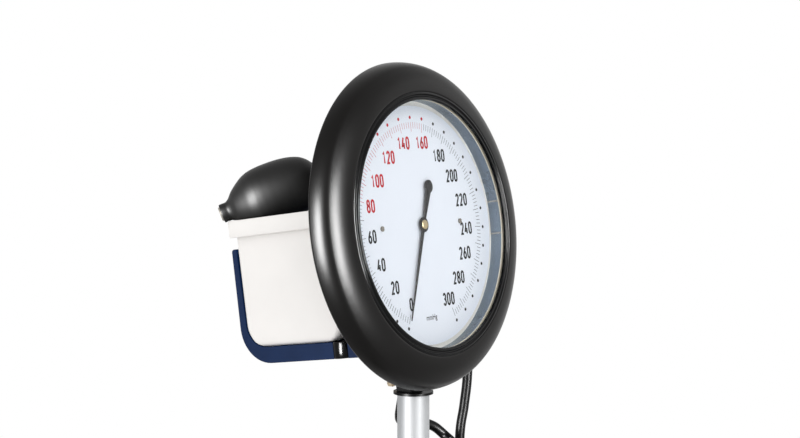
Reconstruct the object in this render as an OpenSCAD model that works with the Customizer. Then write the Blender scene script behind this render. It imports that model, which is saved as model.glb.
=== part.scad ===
// Large-dial aneroid blood pressure gauge on a height-adjustable five-leg stand.
// Millimetres, +Z up. The origin is on the floor, on the axis of the pole.
// The dial looks towards -Y and leans back a little, and +X is to its right as it is read.

/* [Dial] */
// Radius of the printed dial plate
dial_r = 92.1; // [80:0.1:100]
// Thickness of the dial plate
dial_t = 1; // [0.8:0.1:1.5]
// Pale band that shows between the dial plate and the case drum
seat_band = 3.9; // [3:0.1:6]
// Backward lean of the dial as it stands, in degrees
lean = 8.1; // [4:0.1:14]
// Radius of the pointer's tip
pointer_l = 77; // [60:0.5:84]

/* [Head] */
// Reach of the moulded ring outside the case drum
ring_reach = 30.6; // [24:0.1:36]
// Distance of the ring's flat rear face behind the dial face
ring_rear = 8.6; // [6:0.1:12]
// Distance of the ring's front lip ahead of the dial face
ring_front = 14.7; // [12:0.1:18]
// Wall of the moulded ring
ring_wall = 3; // [2:0.1:4]
// Thickness of the clear window
window_t = 2; // [1.5:0.1:3]
// Sheet thickness of the case drum
drum_t = 1.2; // [0.8:0.1:2]
// Depth of the case behind the dial face
case_depth = 19.8; // [19.5:0.1:24]
// Sheet thickness of the rear cover
cover_t = 1.5; // [1:0.1:2]

/* [Basket] */
// Width of the basket over its rim
basket_w = 164; // [140:1:180]
// Depth of the basket over its rim
basket_d = 105; // [94:1:125]
// Height of the basket
basket_h = 99; // [90:1:115]
// Height of the rim above the centre of the dial
rim_rise = 19.7; // [14:0.1:24]
// Height of the rim band
rim_h = 13.1; // [9:0.1:18]
// Overhang of the rim band outside the wall
rim_over = 4.4; // [3.5:0.1:7]
// Wall thickness of the basket
basket_wall = 2.4; // [1.8:0.1:3]
// Thickness of the cradle's back, behind the basket
cradle_back_t = 4.6; // [3.5:0.1:6]
// Thickness of the cradle's floor, under the basket
cradle_floor_t = 12.4; // [11.4:0.1:15]

/* [Bulb and cuff] */
// Largest radius of the rubber bulb
bulb_r = 24.2; // [22:0.1:26]
// Length of the rubber bulb
bulb_l = 88; // [80:1:96]
// Wall of the rubber bulb
bulb_wall = 3; // [2:0.1:4]
// Width of the rolled cuff
cuff_w = 118; // [100:1:122]

/* [Pole] */
// Diameter of the sliding upper tube
upper_d = 25; // [20:0.1:28]
// Diameter of the fixed lower tube
lower_d = 32; // [31:0.1:38]
// Wall of both tubes
tube_wall = 1.5; // [1:0.1:2]
// Length of the lower tube
lower_l = 560; // [400:1:700]
// Length of upper tube that shows above the clamp as stored
upper_out = 400; // [300:1:460]
// Length of upper tube that stays inside the lower tube as stored
upper_in = 330; // [280:1:380]
// Diameter of the glossy flange on top of the pole
flange_d = 31; // [28:0.1:36]
// Thickness of the glossy flange
flange_t = 2; // [1.5:0.1:4]
// Outside diameter of the clamp collar
collar_d = 44; // [42:0.5:48]
// Height of the clamp collar
collar_h = 34; // [28:1:44]

/* [Base] */
// Distance of each caster's stem from the pole axis
leg_reach = 255; // [210:1:300]
// Width of a leg at the hub
leg_root_w = 46; // [38:1:56]
// Width of a leg at its tip
leg_tip_w = 30; // [26:1:34]
// Depth of a leg at the hub
leg_root_h = 42; // [34:1:50]
// Depth of a leg at its tip
leg_tip_h = 20; // [16:1:26]
// Wall of the ribbed legs
leg_wall = 3.5; // [2.5:0.1:5]
// Radius of the hub
hub_r = 34; // [31:0.5:40]
// Radius of a caster wheel
wheel_r = 25; // [20:0.5:30]
// Width of one wheel of a twin caster
wheel_w = 14; // [11:0.5:17]

/* [Hidden] */
$fn = 64;

// Small clearance of a shaft in its bore, of two pieces that seat together, and of soft pieces
fit = 0.05;
seat = 0.2;
soft_gap = 0.3;
big = 1000;

// Heights of the base, from the floor up
caster_trail = 17;
caster_web = 7;
axle_r = 3;
hood_gap = 1.5;
hood_t = 2.5;
hood_r = wheel_r + hood_gap + hood_t;
stem_r = 5.5;
stem_l = 18;
hood_top = wheel_r + hood_r + 2;
leg_base_z = hood_top + 1.2;
hub_h = leg_root_h + 10;
hub_foot = 1.5;
hub_top = leg_base_z + hub_h;
tube_socket = 40;
lower_z = hub_top - tube_socket;
lower_top = lower_z + lower_l;
upper_r = upper_d / 2;
lower_r = lower_d / 2;
lower_bore = lower_r - tube_wall;
bush_r = lower_bore - fit;
bush_bore = upper_r + fit;
bush_l = 60;
bush_lip = 3;
bush_top = lower_top + bush_lip;
collar_lap = 26;
collar_z = lower_top - collar_lap;
collar_top = collar_z + collar_h;
pole_top = collar_top + upper_out;
knob_z = collar_z + collar_lap / 2;
knob_screw_r = 3;

// The case, along the depth axis of the head: 0 is the dial face, + is to the rear
drum_bore = dial_r + seat_band;
drum_r = drum_bore + drum_t;
cover_r = drum_r + fit + cover_t;
cover_rear = case_depth + cover_t;
ring_r = drum_bore + ring_reach;
lip_r = drum_bore - 1.2;
bezel_r = drum_bore + 5.4;
window_front = ring_front - 2.2;
window_rear = window_front - window_t;
seal_t = 1;
drum_front = window_rear - seal_t - fit;

// The basket, in the axes of the head
basket_gap = 1.2;
rim_front = cover_rear + basket_gap;
rim_back = rim_front + basket_d;
rim_x = basket_w / 2;
rim_corner = 6;
rim_t = 2;
wall_corner = 5;
floor_corner = 18;
side_round = 8;
draft_x = 1.2;
wall_front = rim_front + rim_over;
wall_back = rim_back - rim_over;
wall_x = rim_x - rim_over;
basket_bottom = rim_rise - basket_h;

// Tilt pivot, in the axes of the head, and the cradle on it
cradle_gap = 0.3;
saddle_gap = 0.4;
cradle_x = wall_x - 1;
cradle_top = basket_bottom - cradle_gap;
cradle_bottom = cradle_top - cradle_floor_t;
pivot_b = cover_rear + 10.4;
pivot_u = (cradle_top + cradle_bottom) / 2;
pin_r = 4;
cap_r = cradle_floor_t / 2;
slot_half = cap_r + 0.8;
knuckle_in = 30;
knuckle_out = 52;
arm_in = 62;

// Where the head stands on the pole. The ring's lower rear edge passes over the flange at the
// forward stop of the tilt, with the flange gap to spare
tilt_forward = 4;
flange_gap = 0.8;
edge_back = pivot_b - ring_rear;
edge_down = ring_r + pivot_u;
stop_lean = max(lean - tilt_forward, 0);
flange_drop = edge_down * cos(stop_lean) - edge_back * sin(stop_lean) + flange_gap;
flange_z = pole_top;
pivot_z = flange_z + flange_t + flange_drop;
pivot_back = 11.2;
dial_y = pivot_back - (pivot_b * cos(lean) + pivot_u * sin(lean));
dial_z = pivot_z + pivot_b * sin(lean) - pivot_u * cos(lean);

// Movement: pitch radii of the pinion and the sector, and the depths of its layers
tooth_m = 0.45;
pinion_teeth = 10;
sector_turn_ratio = 10;
pinion_r = tooth_m * pinion_teeth / 2;
sector_r = pinion_r * sector_turn_ratio;
sector_u = -(pinion_r + sector_r);
zero_angle = 157.5;
sector_sweep = 2 * zero_angle / sector_turn_ratio;
bridge_front = 2.4;
bridge_t = 1;
gear_front = 4.2;
gear_t = 1.4;
plate_front = 7.4;
plate_t = 1.4;
capsule_r = 26;

// Bulb: where its neck lies on the rim's rear left corner, and where it points
bulb_neck = [-80.5, rim_back + 3, rim_rise + 6.4];
bulb_turn = 40;
bulb_rise = 15.3;

// Hose: its diameter, and the route in upright axes from the centre of the dial
hose_d = 8;
port_x = 18;
coil_r = 19;
coil_turns = 15.5;
coil_pitch = 12;
coil_x = 52;
coil_y = 23;
coil_top = -187.3;
lead_route = [
    [18, 22, -116], [18, 26.8, -122.4], [18, 30, -130], [18.5, 32, -139], [19.5, 34.5, -148],
    [21.5, 37, -155], [27, 40, -160], [36, 41, -163], [47, 39.5, -165], [57, 36.5, -167],
    [65, 33, -171], [70.5, 28, -177.5], [70.5, 21.5, -181.5]
];
riser_route = [
    [33, 31.3, -374.3], [33, 39, -375.3], [36, 46, -381], [43, 51, -392], [53, 53, -404], [64, 51, -411],
    [76, 46, -412], [86, 40, -404], [92, 35, -390], [94, 31, -370], [94, 28, -335], [92, 26, -290],
    [90, 25, -240], [88, 24.5, -183], [92, 23, -156], [95, 22, -134], [97, 22, -100], [98, 23, -60],
    [98, 24, -20], [97, 26, 0], [94, 30, 15], [88, 36, 25], [80, 43, 28], [72, 50, 23], [67, 55.5, 12],
    [66, 58, 0], [66, 58, -10]
];

// Places a piece drawn in the axes of the head: x to the right, y to the rear, z up the dial
module in_head() {
    translate([0, dial_y, dial_z]) rotate([-lean, 0, 0]) children();
}

// Upright axes from the centre of the dial, for what hangs from the head
module from_dial() {
    translate([0, dial_y, dial_z]) children();
}

// Turns a shape so that its own z runs to the rear of the head
module to_rear() {
    rotate([-90, 0, 0]) children();
}

// A shaft along x, centred
module across(r, l) {
    rotate([0, 90, 0]) cylinder(r = r, h = l, center = true);
}

// Rectangle with rounded corners, between two corners of a plan
module round_rect(x0, y0, x1, y1, r) {
    translate([x0 + r, y0]) square([x1 - x0 - 2 * r, y1 - y0]);
    translate([x0, y0 + r]) square([x1 - x0, y1 - y0 - 2 * r]);
    for (x = [x0 + r, x1 - r], y = [y0 + r, y1 - r]) translate([x, y]) circle(r = r);
}

// Points of a circular arc
function arc(cx, cy, r, from, to, n) =
    [for (i = [0:n]) [cx + r * cos(from + (to - from) * i / n), cy + r * sin(from + (to - from) * i / n)]];

// A smooth curve through points, with n steps between each two (Catmull-Rom)
function on_span(a, b, c, d, t) =
    0.5 * (2 * b + (c - a) * t + (2 * a - 5 * b + 4 * c - d) * t * t + (3 * b - a - 3 * c + d) * t * t * t);
function smooth(p, n) = concat(
    [for (i = [0:len(p) - 2], k = [0:n - 1])
        on_span(p[max(i - 1, 0)], p[i], p[i + 1], p[min(i + 2, len(p) - 1)], k / n)],
    [p[len(p) - 1]]);

// Tube along a route: each ring is square to the route, and its start angle is carried along
function unit(v) = v / norm(v);
function heading(p, i) = unit(p[min(i + 1, len(p) - 1)] - p[max(i - 1, 0)]);
function square_to(v, t) = unit(v - (v * t) * t);
function side_vectors(p) =
    [for (i = 0, v = square_to([1, 0.3, 0.2], heading(p, 0)); i < len(p);
        i = i + 1, v = i < len(p) ? square_to(v, heading(p, i)) : v) v];

module tube(p, r, sides) {
    side = side_vectors(p);
    rings = [for (i = [0:len(p) - 1], k = [0:sides - 1])
        p[i] + r * (cos(360 * k / sides) * side[i] + sin(360 * k / sides) * cross(heading(p, i), side[i]))];
    last = (len(p) - 1) * sides;
    polyhedron(points = rings, faces = concat(
        [for (i = [0:len(p) - 2], k = [0:sides - 1], half = [0, 1])
            let (a = i * sides + k, b = i * sides + (k + 1) % sides)
            half == 0 ? [a, b, b + sides] : [a, b + sides, a + sides]],
        [for (k = [1:sides - 2]) [0, k + 1, k]],
        [for (k = [1:sides - 2]) [last, last + k, last + k + 1]]));
}

// Base

// Height of the legs over the distance from the axis, drawn in by t: an arched top over a flat underside
function leg_side(t) = concat(
    [[0, leg_base_z + t], [leg_reach + leg_tip_w, leg_base_z + t]],
    [[leg_reach + leg_tip_w, leg_base_z + leg_tip_h - t]],
    [for (i = [8:-1:0]) let (x = hub_r - 5 + (leg_reach - hub_r + 5) * i / 8, s = 1 - i / 8)
        [x, leg_base_z + leg_tip_h + (leg_root_h - leg_tip_h) * pow(s, 1.6) - t]],
    [[0, leg_base_z + leg_root_h - t]]);

// Plan of one leg, drawn in by t: tapered, with a round tip around the caster's stem
module leg_plan(t) {
    polygon(concat([[0, -leg_root_w / 2 + t]],
        arc(leg_reach, 0, leg_tip_w / 2 - t, -88, 88, 12),
        [[0, leg_root_w / 2 - t]]));
}

// Plan of all five legs, cut to the arched height
module legs(t, drop) {
    intersection() {
        translate([0, 0, leg_base_z - drop]) linear_extrude(leg_root_h + drop)
            for (k = [0:4]) rotate(90 + 72 * k) leg_plan(t);
        translate([0, 0, -drop]) rotate_extrude() polygon(leg_side(t));
    }
}

// Channels under the legs, between a lengthwise rib and cross ribs
module leg_channels() {
    rib = 2.4;
    start = hub_r + 4;
    end = leg_reach - 14;
    for (k = [0:4]) rotate(90 + 72 * k) difference() {
        translate([0, 0, -leg_wall]) intersection() {
            rotate_extrude() polygon(leg_side(0.5));
            translate([0, 0, leg_base_z]) linear_extrude(leg_root_h) intersection() {
                leg_plan(leg_wall);
                translate([start, -leg_root_w / 2]) square([end - start, leg_root_w]);
            }
        }
        for (i = [1:4]) translate([start + i * (end - start) / 5, -leg_root_w / 2, leg_base_z - leg_wall])
            cube([rib, leg_root_w, leg_root_h]);
        translate([start, -rib / 2, leg_base_z - leg_wall]) cube([leg_reach, rib, leg_root_h]);
    }
}

module star_base() {
    color("#1d1e20") difference() {
        union() {
            translate([0, 0, leg_base_z - hub_foot]) cylinder(r = hub_r, h = hub_h + hub_foot);
            legs(0, 0);
        }
        leg_channels();
        for (k = [0:4]) rotate(90 + 72 * k) translate([leg_reach, 0, leg_base_z - 1])
            cylinder(r = stem_r + fit, h = stem_l);
        translate([0, 0, lower_z]) cylinder(r = lower_r + fit, h = big);
        translate([0, 0, leg_base_z - 10]) cylinder(r = 9, h = big);
    }
}

// Nut plate that draws the lower tube down into the hub, seen from below
module hub_nut() {
    color("#b9bcc0") translate([0, 0, leg_base_z - hub_foot - 4]) difference() {
        union() {
            cylinder(r = 16, h = 4 - seat);
            cylinder(r = 8.8, h = lower_z - leg_base_z + hub_foot + 4 - seat);
        }
        translate([0, 0, -1]) cylinder(r = 4, h = 5, $fn = 6);
    }
}

// A twin caster: a hood over two wheels, a web between them, and a plain stem
module caster_at(k) {
    rotate(90 + 72 * (k - 1)) translate([leg_reach, 0, 0]) children();
}

module caster_hood(k) {
    slot_w = wheel_w + 1.4;
    hood_w = caster_web + 2 * wheel_w + 2;
    color("#17181a") caster_at(k) difference() {
        union() {
            intersection() {
                translate([caster_trail, 0, wheel_r]) rotate([90, 0, 0]) cylinder(r = hood_r, h = hood_w, center = true);
                translate([-big / 2, -big / 2, wheel_r + 3]) cube(big);
            }
            translate([caster_trail, 0, wheel_r]) rotate([90, 0, 0]) cylinder(r = 11, h = caster_web, center = true);
            translate([0, 0, wheel_r + 12]) cylinder(r = 10, h = hood_top - wheel_r - 12);
            cylinder(r = stem_r, h = leg_base_z + stem_l - 2);
        }
        for (s = [-1, 1]) translate([caster_trail, s * (caster_web + slot_w) / 2, wheel_r]) rotate([90, 0, 0])
            cylinder(r = wheel_r + hood_gap, h = slot_w, center = true);
        translate([caster_trail, 0, wheel_r]) rotate([90, 0, 0]) cylinder(r = axle_r + fit, h = big, center = true);
        translate([-big / 2, -big / 2, 0]) cube([big, big, wheel_r + 1]);
    }
}

module caster_wheels(k) {
    inner = caster_web / 2 + 0.6;
    color("#2b2c2f") caster_at(k) translate([caster_trail, 0, wheel_r]) rotate([90, 0, 0]) {
        cylinder(r = axle_r, h = 2 * (inner + wheel_w) - 4, center = true);
        for (s = [0, 1]) mirror([0, 0, s]) translate([0, 0, inner]) rotate_extrude($fn = 48)
            polygon(concat([[0, 0], [wheel_r - 2, 0]],
                arc(wheel_r - 2, 2, 2, -90, 0, 3),
                arc(wheel_r - 3, wheel_w - 3, 3, 0, 90, 4),
                [[wheel_r - 6, wheel_w - 2], [9, wheel_w - 2], [8, wheel_w - 0.5], [0, wheel_w - 0.5]]));
    }
}

// Pole

module lower_tube() {
    color("#c9ccd0") translate([0, 0, lower_z]) difference() {
        cylinder(r = lower_r, h = lower_l);
        translate([0, 0, -1]) cylinder(r = lower_bore, h = lower_l + 2);
    }
}

module tube_bush() {
    color("#222326") difference() {
        union() {
            translate([0, 0, bush_top - bush_l]) cylinder(r = bush_r, h = bush_l);
            translate([0, 0, lower_top + fit]) cylinder(r = lower_r - 0.4, h = bush_lip - fit);
        }
        translate([0, 0, bush_top - bush_l - 1]) cylinder(r = bush_bore, h = bush_l + 2);
    }
}

module clamp_collar() {
    boss_r = 11;
    boss_x = collar_d / 2 + 5;
    color("#1b1c1e") difference() {
        union() {
            translate([0, 0, collar_z]) rotate_extrude() polygon([[0, 0], [collar_d / 2 - 1.5, 0],
                [collar_d / 2, 1.5], [collar_d / 2, collar_h - 4], [collar_d / 2 - 4, collar_h], [0, collar_h]]);
            translate([-boss_x, 0, knob_z]) rotate([0, 90, 0]) cylinder(r = boss_r, h = boss_x);
        }
        translate([0, 0, collar_z - 1]) cylinder(r = lower_r + fit, h = bush_top - collar_z + 1 + fit);
        cylinder(r = upper_r + 0.4, h = big * 2);
        translate([-big / 2, 0, knob_z]) across(knob_screw_r + fit, big);
    }
}

// Star knob; its screw bears on a flat pad against the lower tube
module clamp_knob() {
    head_x = collar_d / 2 + 5 + 0.4;
    color("#141517") translate([0, 0, knob_z]) rotate([0, -90, 0]) {
        translate([0, 0, lower_r + fit]) cylinder(r = knob_screw_r, h = head_x - lower_r + 4);
        translate([0, 0, head_x]) difference() {
            union() {
                cylinder(r1 = 8, r2 = 10, h = 4);
                translate([0, 0, 4]) cylinder(r = 17, h = 14);
            }
            for (k = [0:6]) rotate(360 * k / 7) translate([19.5, 0, 3]) cylinder(r = 5.4, h = 20, $fn = 32);
            translate([0, 0, 16.5]) cylinder(r = 8, h = 5);
        }
    }
}

module upper_tube() {
    color("#d4d6da") translate([0, 0, collar_top - upper_in]) difference() {
        cylinder(r = upper_r, h = upper_in + upper_out);
        translate([0, 0, -1]) cylinder(r = upper_r - tube_wall, h = upper_in + upper_out + 2);
    }
}

module pole_flange() {
    color("#1a1b1d") difference() {
        union() {
            translate([0, 0, flange_z + fit]) cylinder(r = flange_d / 2, h = flange_t - fit);
            translate([0, 0, flange_z - 18]) cylinder(r = upper_r - tube_wall - fit, h = 19);
        }
        translate([0, 0, flange_z - 20]) cylinder(r = 4.1, h = 40);
    }
}

// Bracket on the flange: a spigot down the pole, a stem, and the eye for the tilt pin
module head_bracket() {
    stem_w = 16;
    eye_r = 9;
    color("#232427") difference() {
        union() {
            translate([0, pivot_back, pivot_z]) across(eye_r, 24);
            translate([-stem_w / 2, 0, 0]) rotate([90, 0, 90]) linear_extrude(stem_w)
                polygon([[-3, flange_z + flange_t + fit], [10, flange_z + flange_t + fit],
                    [pivot_back + eye_r - 1, pivot_z], [pivot_back - eye_r + 1.5, pivot_z]]);
            translate([0, 0, flange_z - 16]) cylinder(r = 4.05, h = 16 + flange_t + 6);
        }
        translate([0, pivot_back, pivot_z]) across(pin_r + fit, 30);
    }
}

// Brass screw that stands out of the bracket just above the flange
module bracket_screw() {
    y0 = 10.05;
    z0 = flange_z + flange_t + 4.2;
    color("#b8923c") translate([0, 0, z0]) {
        translate([0, y0 + 1.2, 0]) to_rear() cylinder(r = 1.9, h = 12);
        translate([0, y0 + 9, 0]) to_rear() cylinder(r = 3.2, h = 4.2, $fn = 6);
    }
}

// Head

module pivot_pin() {
    color("#c4c6ca") in_head() translate([0, pivot_b, pivot_u]) across(pin_r, 2 * (cradle_x - 3));
}

module pivot_caps() {
    color("#0f1012") in_head() for (s = [0, 1]) mirror([s, 0, 0]) translate([0, pivot_b, pivot_u]) rotate([0, 90, 0])
        difference() {
            translate([0, 0, arm_in + 0.6]) cylinder(r = cap_r, h = cradle_x - arm_in - 0.6);
            cylinder(r = pin_r + fit, h = cradle_x - 3 + fit);
        }
}

// Cradle: a back behind the basket, a floor under it, knuckles on the pin and two arms to the ring.
// The floor is slotted on both sides, so that the caps of the pin stand free
module basket_cradle() {
    outer_r = 28;
    inner_back = wall_back + 0.4;
    back = inner_back + cradle_back_t;
    front = ring_rear + seat;
    top_u = -2.4;
    half_t = cradle_back_t / 2;
    color("#26406b") in_head() difference() {
        rotate([90, 0, 90]) linear_extrude(2 * cradle_x, center = true) polygon(concat(
            [[front, cradle_bottom]],
            arc(back - outer_r, cradle_bottom + outer_r, outer_r, -90, 0, 12),
            arc(inner_back + half_t, top_u - half_t, half_t, 0, 180, 8),
            arc(wall_back - draft_x - floor_corner, basket_bottom + floor_corner, floor_corner + cradle_gap, 0, -90, 12),
            [[front, cradle_top]]));
        // Clear of the rear cover, the bracket and the brass elbow between the knuckles
        translate([-arm_in + 10, ring_rear, cradle_bottom - 1])
            cube([2 * arm_in - 20, cover_rear + 1 - ring_rear, cradle_floor_t + 2]);
        translate([-knuckle_in + 1, ring_rear, cradle_bottom - 1])
            cube([2 * knuckle_in - 2, pivot_b + 14 - ring_rear, cradle_floor_t + 2]);
        for (s = [0, 1]) mirror([s, 0, 0])
            translate([arm_in, pivot_b - slot_half, cradle_bottom - 1]) cube([30, 2 * slot_half, cradle_floor_t + 2]);
        translate([0, pivot_b, pivot_u]) across(pin_r + fit, 2 * big);
        // Saddle for the rear cover, between the arms
        translate([0, ring_rear - 1, 0]) to_rear() cylinder(r = cover_r + saddle_gap, h = cover_rear + 1 + saddle_gap - ring_rear, $fn = 96);
    }
}

// Moulded ring: outer shape and inner shape of its channel section, as [radius, depth]
flank_w = 9.4;
flank_l = 0.742 * (ring_front + ring_rear);
flank_turn = 69.4;
rear_round = 2.5;
shoulder_r = 35;
function flank(w, l, from, to, n) = [for (i = [0:n]) let (a = from + (to - from) * i / n)
    [ring_r - flank_w + w * cos(a), ring_rear - l * sin(a)]];
function bulge(a, b, r, n, s) = let (m = (a + b) / 2, c = norm(b - a) / 2, d = (b - a) / (2 * c),
    q = m + s * sqrt(r * r - c * c) * [d[1], -d[0]],
    from = atan2(a[1] - q[1], a[0] - q[0]), to = atan2(b[1] - q[1], b[0] - q[0])) arc(q[0], q[1], r, from, to, n);
flank_end = [ring_r - flank_w + flank_w * cos(flank_turn), ring_rear - flank_l * sin(flank_turn)];

module bezel_ring() {
    t = ring_wall;
    inner_end = flank_end + [-0.6 * t, 0.9 * t];
    color("#2b2926") in_head() to_rear() rotate_extrude($fn = 128) polygon(concat(
        [[drum_r + fit, ring_rear - t], [drum_r + fit, ring_rear]],
        arc(ring_r - rear_round - 0.1, ring_rear - rear_round, rear_round, 90, 0, 3),
        flank(flank_w, flank_l, 8.5, flank_turn, 10),
        bulge(flank_end, [bezel_r, 0.8 - ring_front], shoulder_r, 8, 1),
        [[bezel_r, 0.8 - ring_front + t]],
        bulge([bezel_r + 3, 0.8 - ring_front + t], inner_end, shoulder_r - t, 4, -1),
        flank(flank_w - t, flank_l - t, flank_turn - 2, 12, 6),
        [[ring_r - t - 2, ring_rear - t]]));
}

// Glossy trim between the ring and the window, with a fine ridge and a groove
module inner_bezel() {
    f = -ring_front;
    r = lip_r;
    color("#0c0d0e") in_head() to_rear() rotate_extrude($fn = 128) polygon([[r, f + 0.5], [r + 0.5, f],
        [r + 1.7, f], [r + 2.4, f + 0.8], [r + 3.2, f + 1.5], [r + 3.9, f + 0.9], [r + 4.4, f + 0.3],
        [r + 5, f + 0.35], [r + 6, f + 0.9], [bezel_r - fit, f + 1.2], [bezel_r - fit, f + 8],
        [drum_r + fit, f + 8], [drum_r + fit, -window_front - fit], [r, -window_front - fit]]);
}

module window() {
    color("#e8f0f4", 0.25) in_head() translate([0, -window_front, 0]) to_rear() cylinder(r = drum_r - fit, h = window_t, $fn = 128);
}

module window_seal() {
    color("#d9d0b8") in_head() translate([0, -window_rear + fit, 0]) to_rear() difference() {
        cylinder(r = drum_r - fit, h = seal_t - fit, $fn = 128);
        translate([0, 0, -1]) cylinder(r = drum_bore - 0.8, h = seal_t + 2, $fn = 128);
    }
}

screw_x = 51;

module dial_plate() {
    color("#e7ebf3") in_head() to_rear() difference() {
        cylinder(r = dial_r, h = dial_t, $fn = 128);
        translate([0, 0, -1]) cylinder(r = 2.2, h = dial_t + 2);
        for (s = [-1, 1]) translate([s * screw_x, 0, -1]) cylinder(r = 1 + fit, h = dial_t + 2);
    }
}

module dial_screws() {
    color("#c9c6bd") in_head() for (s = [-1, 1]) translate([s * screw_x, 0, 0]) to_rear() difference() {
        union() {
            translate([0, 0, -0.9]) cylinder(r = 2, h = 0.85);
            cylinder(r = 1, h = 5);
            translate([0, 0, -0.1]) cylinder(r = 1, h = 1);
        }
        translate([-3, -0.25, -1.4]) cube([6, 0.5, 0.9]);
    }
}

module dial_seat() {
    color("#e4d9c6") in_head() translate([0, dial_t + fit, 0]) to_rear() difference() {
        cylinder(r = drum_bore - fit, h = 2.4, $fn = 128);
        translate([0, 0, -1]) cylinder(r = dial_r - 4.1, h = 5, $fn = 128);
    }
}

module case_drum() {
    color("#7f8a95") in_head() translate([0, -drum_front, 0]) to_rear() difference() {
        cylinder(r = drum_r, h = drum_front + case_depth - fit, $fn = 128);
        translate([0, 0, -1]) cylinder(r = drum_bore, h = drum_front + case_depth + 2, $fn = 128);
    }
}

pillar_at = [[-30, 12], [30, 12], [-22, -14], [22, -14]];

module rear_cover() {
    skirt = ring_rear + 0.4;
    color("#1b1c1e") in_head() difference() {
        translate([0, skirt, 0]) to_rear() cylinder(r = cover_r, h = cover_rear - skirt, $fn = 128);
        translate([0, skirt - 1, 0]) to_rear() cylinder(r = drum_r + fit, h = case_depth - skirt + 1, $fn = 128);
        for (p = pillar_at) translate([p[0], case_depth - 1, p[1]]) to_rear() cylinder(r = 1.5 + fit, h = 4);
        translate([port_x, case_depth - 1, port_u]) to_rear() cylinder(r = port_r + fit, h = 4);
    }
}

module case_screws() {
    color("#b9bcc0") in_head() for (p = pillar_at) translate([p[0], 0, p[1]]) difference() {
        union() {
            translate([0, cover_rear + fit, 0]) to_rear() cylinder(r = 2.6, h = 1);
            translate([0, cover_rear - 7, 0]) to_rear() cylinder(r = 1.5, h = 7.5);
        }
        translate([-0.3, cover_rear + 0.5, -3]) cube([0.6, 2, 6]);
    }
}

// Movement

rocker_b = plate_front + plate_t + 2.8;
link_front = gear_front + gear_t + 0.3;
link_t = 1.2;
link_mid = link_front + link_t / 2;
rocker_front = rocker_b - link_mid;
rocker_axis_u = -47;
stud_arm = 5;
tail_r = 6;
tail_lift = 2 * tail_r * sin(sector_sweep / 2);
rocker_turn = 2 * asin(tail_lift / 2 / rocker_front);
stud_lift = 2 * stud_arm * sin(rocker_turn / 2);
arm_tip_r = 0.9;
stud_u = rocker_axis_u - stud_arm;
stud_front = rocker_b + stud_lift / 2 + arm_tip_r + fit;
capsule_front = case_depth - 5.2;
capsule_rear = case_depth - 0.4;
port_u = -84;
port_r = 2.5;

// The pointer hangs at zero, half the sweep to the left of straight down
module on_pointer() {
    in_head() rotate([0, -zero_angle, 0]) children();
}

module pointer() {
    color("#17181a") on_pointer() translate([0, -1.6, 0]) rotate([90, 0, 0]) linear_extrude(0.8) difference() {
        polygon(concat(
            [[-0.35, pointer_l], [0.35, pointer_l], [0.9, pointer_l - 22]],
            arc(0, 0, 4.2, 62, -66, 8),
            [[3.2, -23.6]], arc(0, -26.4, 4.1, 30, -210, 16), [[-3.2, -23.6]],
            arc(0, 0, 4.2, 246, 118, 8),
            [[-0.9, pointer_l - 22]]));
        circle(r = 0.85);
    }
}

module pointer_cap() {
    color("#b08d3e") in_head() translate([0, -2.45, 0]) rotate([90, 0, 0]) rotate_extrude()
        polygon([[0, 0], [3.6, 0], [3.6, 0.5], [3, 1.0], [0, 1.0]]);
}

module pinion_arbor() {
    color("#c9a24a") in_head() rotate([90, 0, 0]) {
        translate([0, 0, -plate_front - plate_t]) cylinder(r = 0.8, h = plate_front + plate_t + 2.4);
        translate([0, 0, -gear_front - gear_t]) linear_extrude(gear_t) union() {
            circle(r = pinion_r - 0.5);
            for (k = [0:pinion_teeth - 1]) rotate(360 * (k + 0.5) / pinion_teeth)
                polygon([[pinion_r - 0.7, -0.42], [pinion_r + 0.05, -0.24], [pinion_r + 0.35, -0.1],
                    [pinion_r + 0.35, 0.1], [pinion_r + 0.05, 0.24], [pinion_r - 0.7, 0.42]]);
        }
    }
}

// Flat spiral between a collet on the arbor and a stud on the plate
module hairspring() {
    turns = 5;
    steps = 20 * turns;
    w = 0.12;
    function at(i, o) = let (a = 360 * turns * i / steps, r = 1.9 + 6.3 * i / steps + o) [r * cos(a), r * sin(a)];
    color("#a9afb8") in_head() translate([0, gear_front + gear_t + 0.4, 0]) to_rear() {
        linear_extrude(0.7) polygon(concat([for (i = [0:steps]) at(i, w)], [for (i = [steps:-1:0]) at(i, -w)]));
        linear_extrude(0.7) difference() {
            circle(r = 2);
            circle(r = 0.8 + fit);
        }
    }
}

module sector() {
    half = sector_sweep / 2 + 5;
    step = 180 * tooth_m / sector_r;
    phase = sector_sweep / 2 - step * (floor(sector_sweep / 2 / step) + 0.5);
    side_teeth = floor((half - 1.5) / step);
    color("#c9a24a") in_head() translate([0, 0, sector_u]) rotate([90, 0, 0]) {
        translate([0, 0, -plate_front - plate_t + 0.1]) cylinder(r = 1, h = plate_front + plate_t - bridge_front - 0.2);
        translate([0, 0, -gear_front - gear_t]) linear_extrude(gear_t) rotate(-sector_sweep / 2) {
            difference() {
                polygon(concat([[0, 0]], arc(0, 0, sector_r - 0.6, 90 - half, 90 + half, 16)));
                polygon(concat(arc(0, 0, sector_r - 3.4, 90 - half + 6, 90 + half - 6, 10),
                    arc(0, 0, 6, 90 + half - 14, 90 - half + 14, 4)));
            }
            for (k = [-side_teeth:side_teeth]) rotate(90 + phase + k * step)
                polygon([[sector_r - 0.8, -0.36], [sector_r - 0.05, -0.26], [sector_r + 0.3, -0.1],
                    [sector_r + 0.3, 0.1], [sector_r - 0.05, 0.26], [sector_r - 0.8, 0.36]]);
            circle(r = 3);
            translate([0, -1.2]) square([tail_r, 2.4]);
            translate([tail_r, 0]) circle(r = 1.2);
        }
        translate([0, 0, -link_front - link_t]) rotate(-sector_sweep / 2) translate([tail_r, 0])
            cylinder(r = 0.5, h = link_t + gear_t);
    }
}

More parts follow.
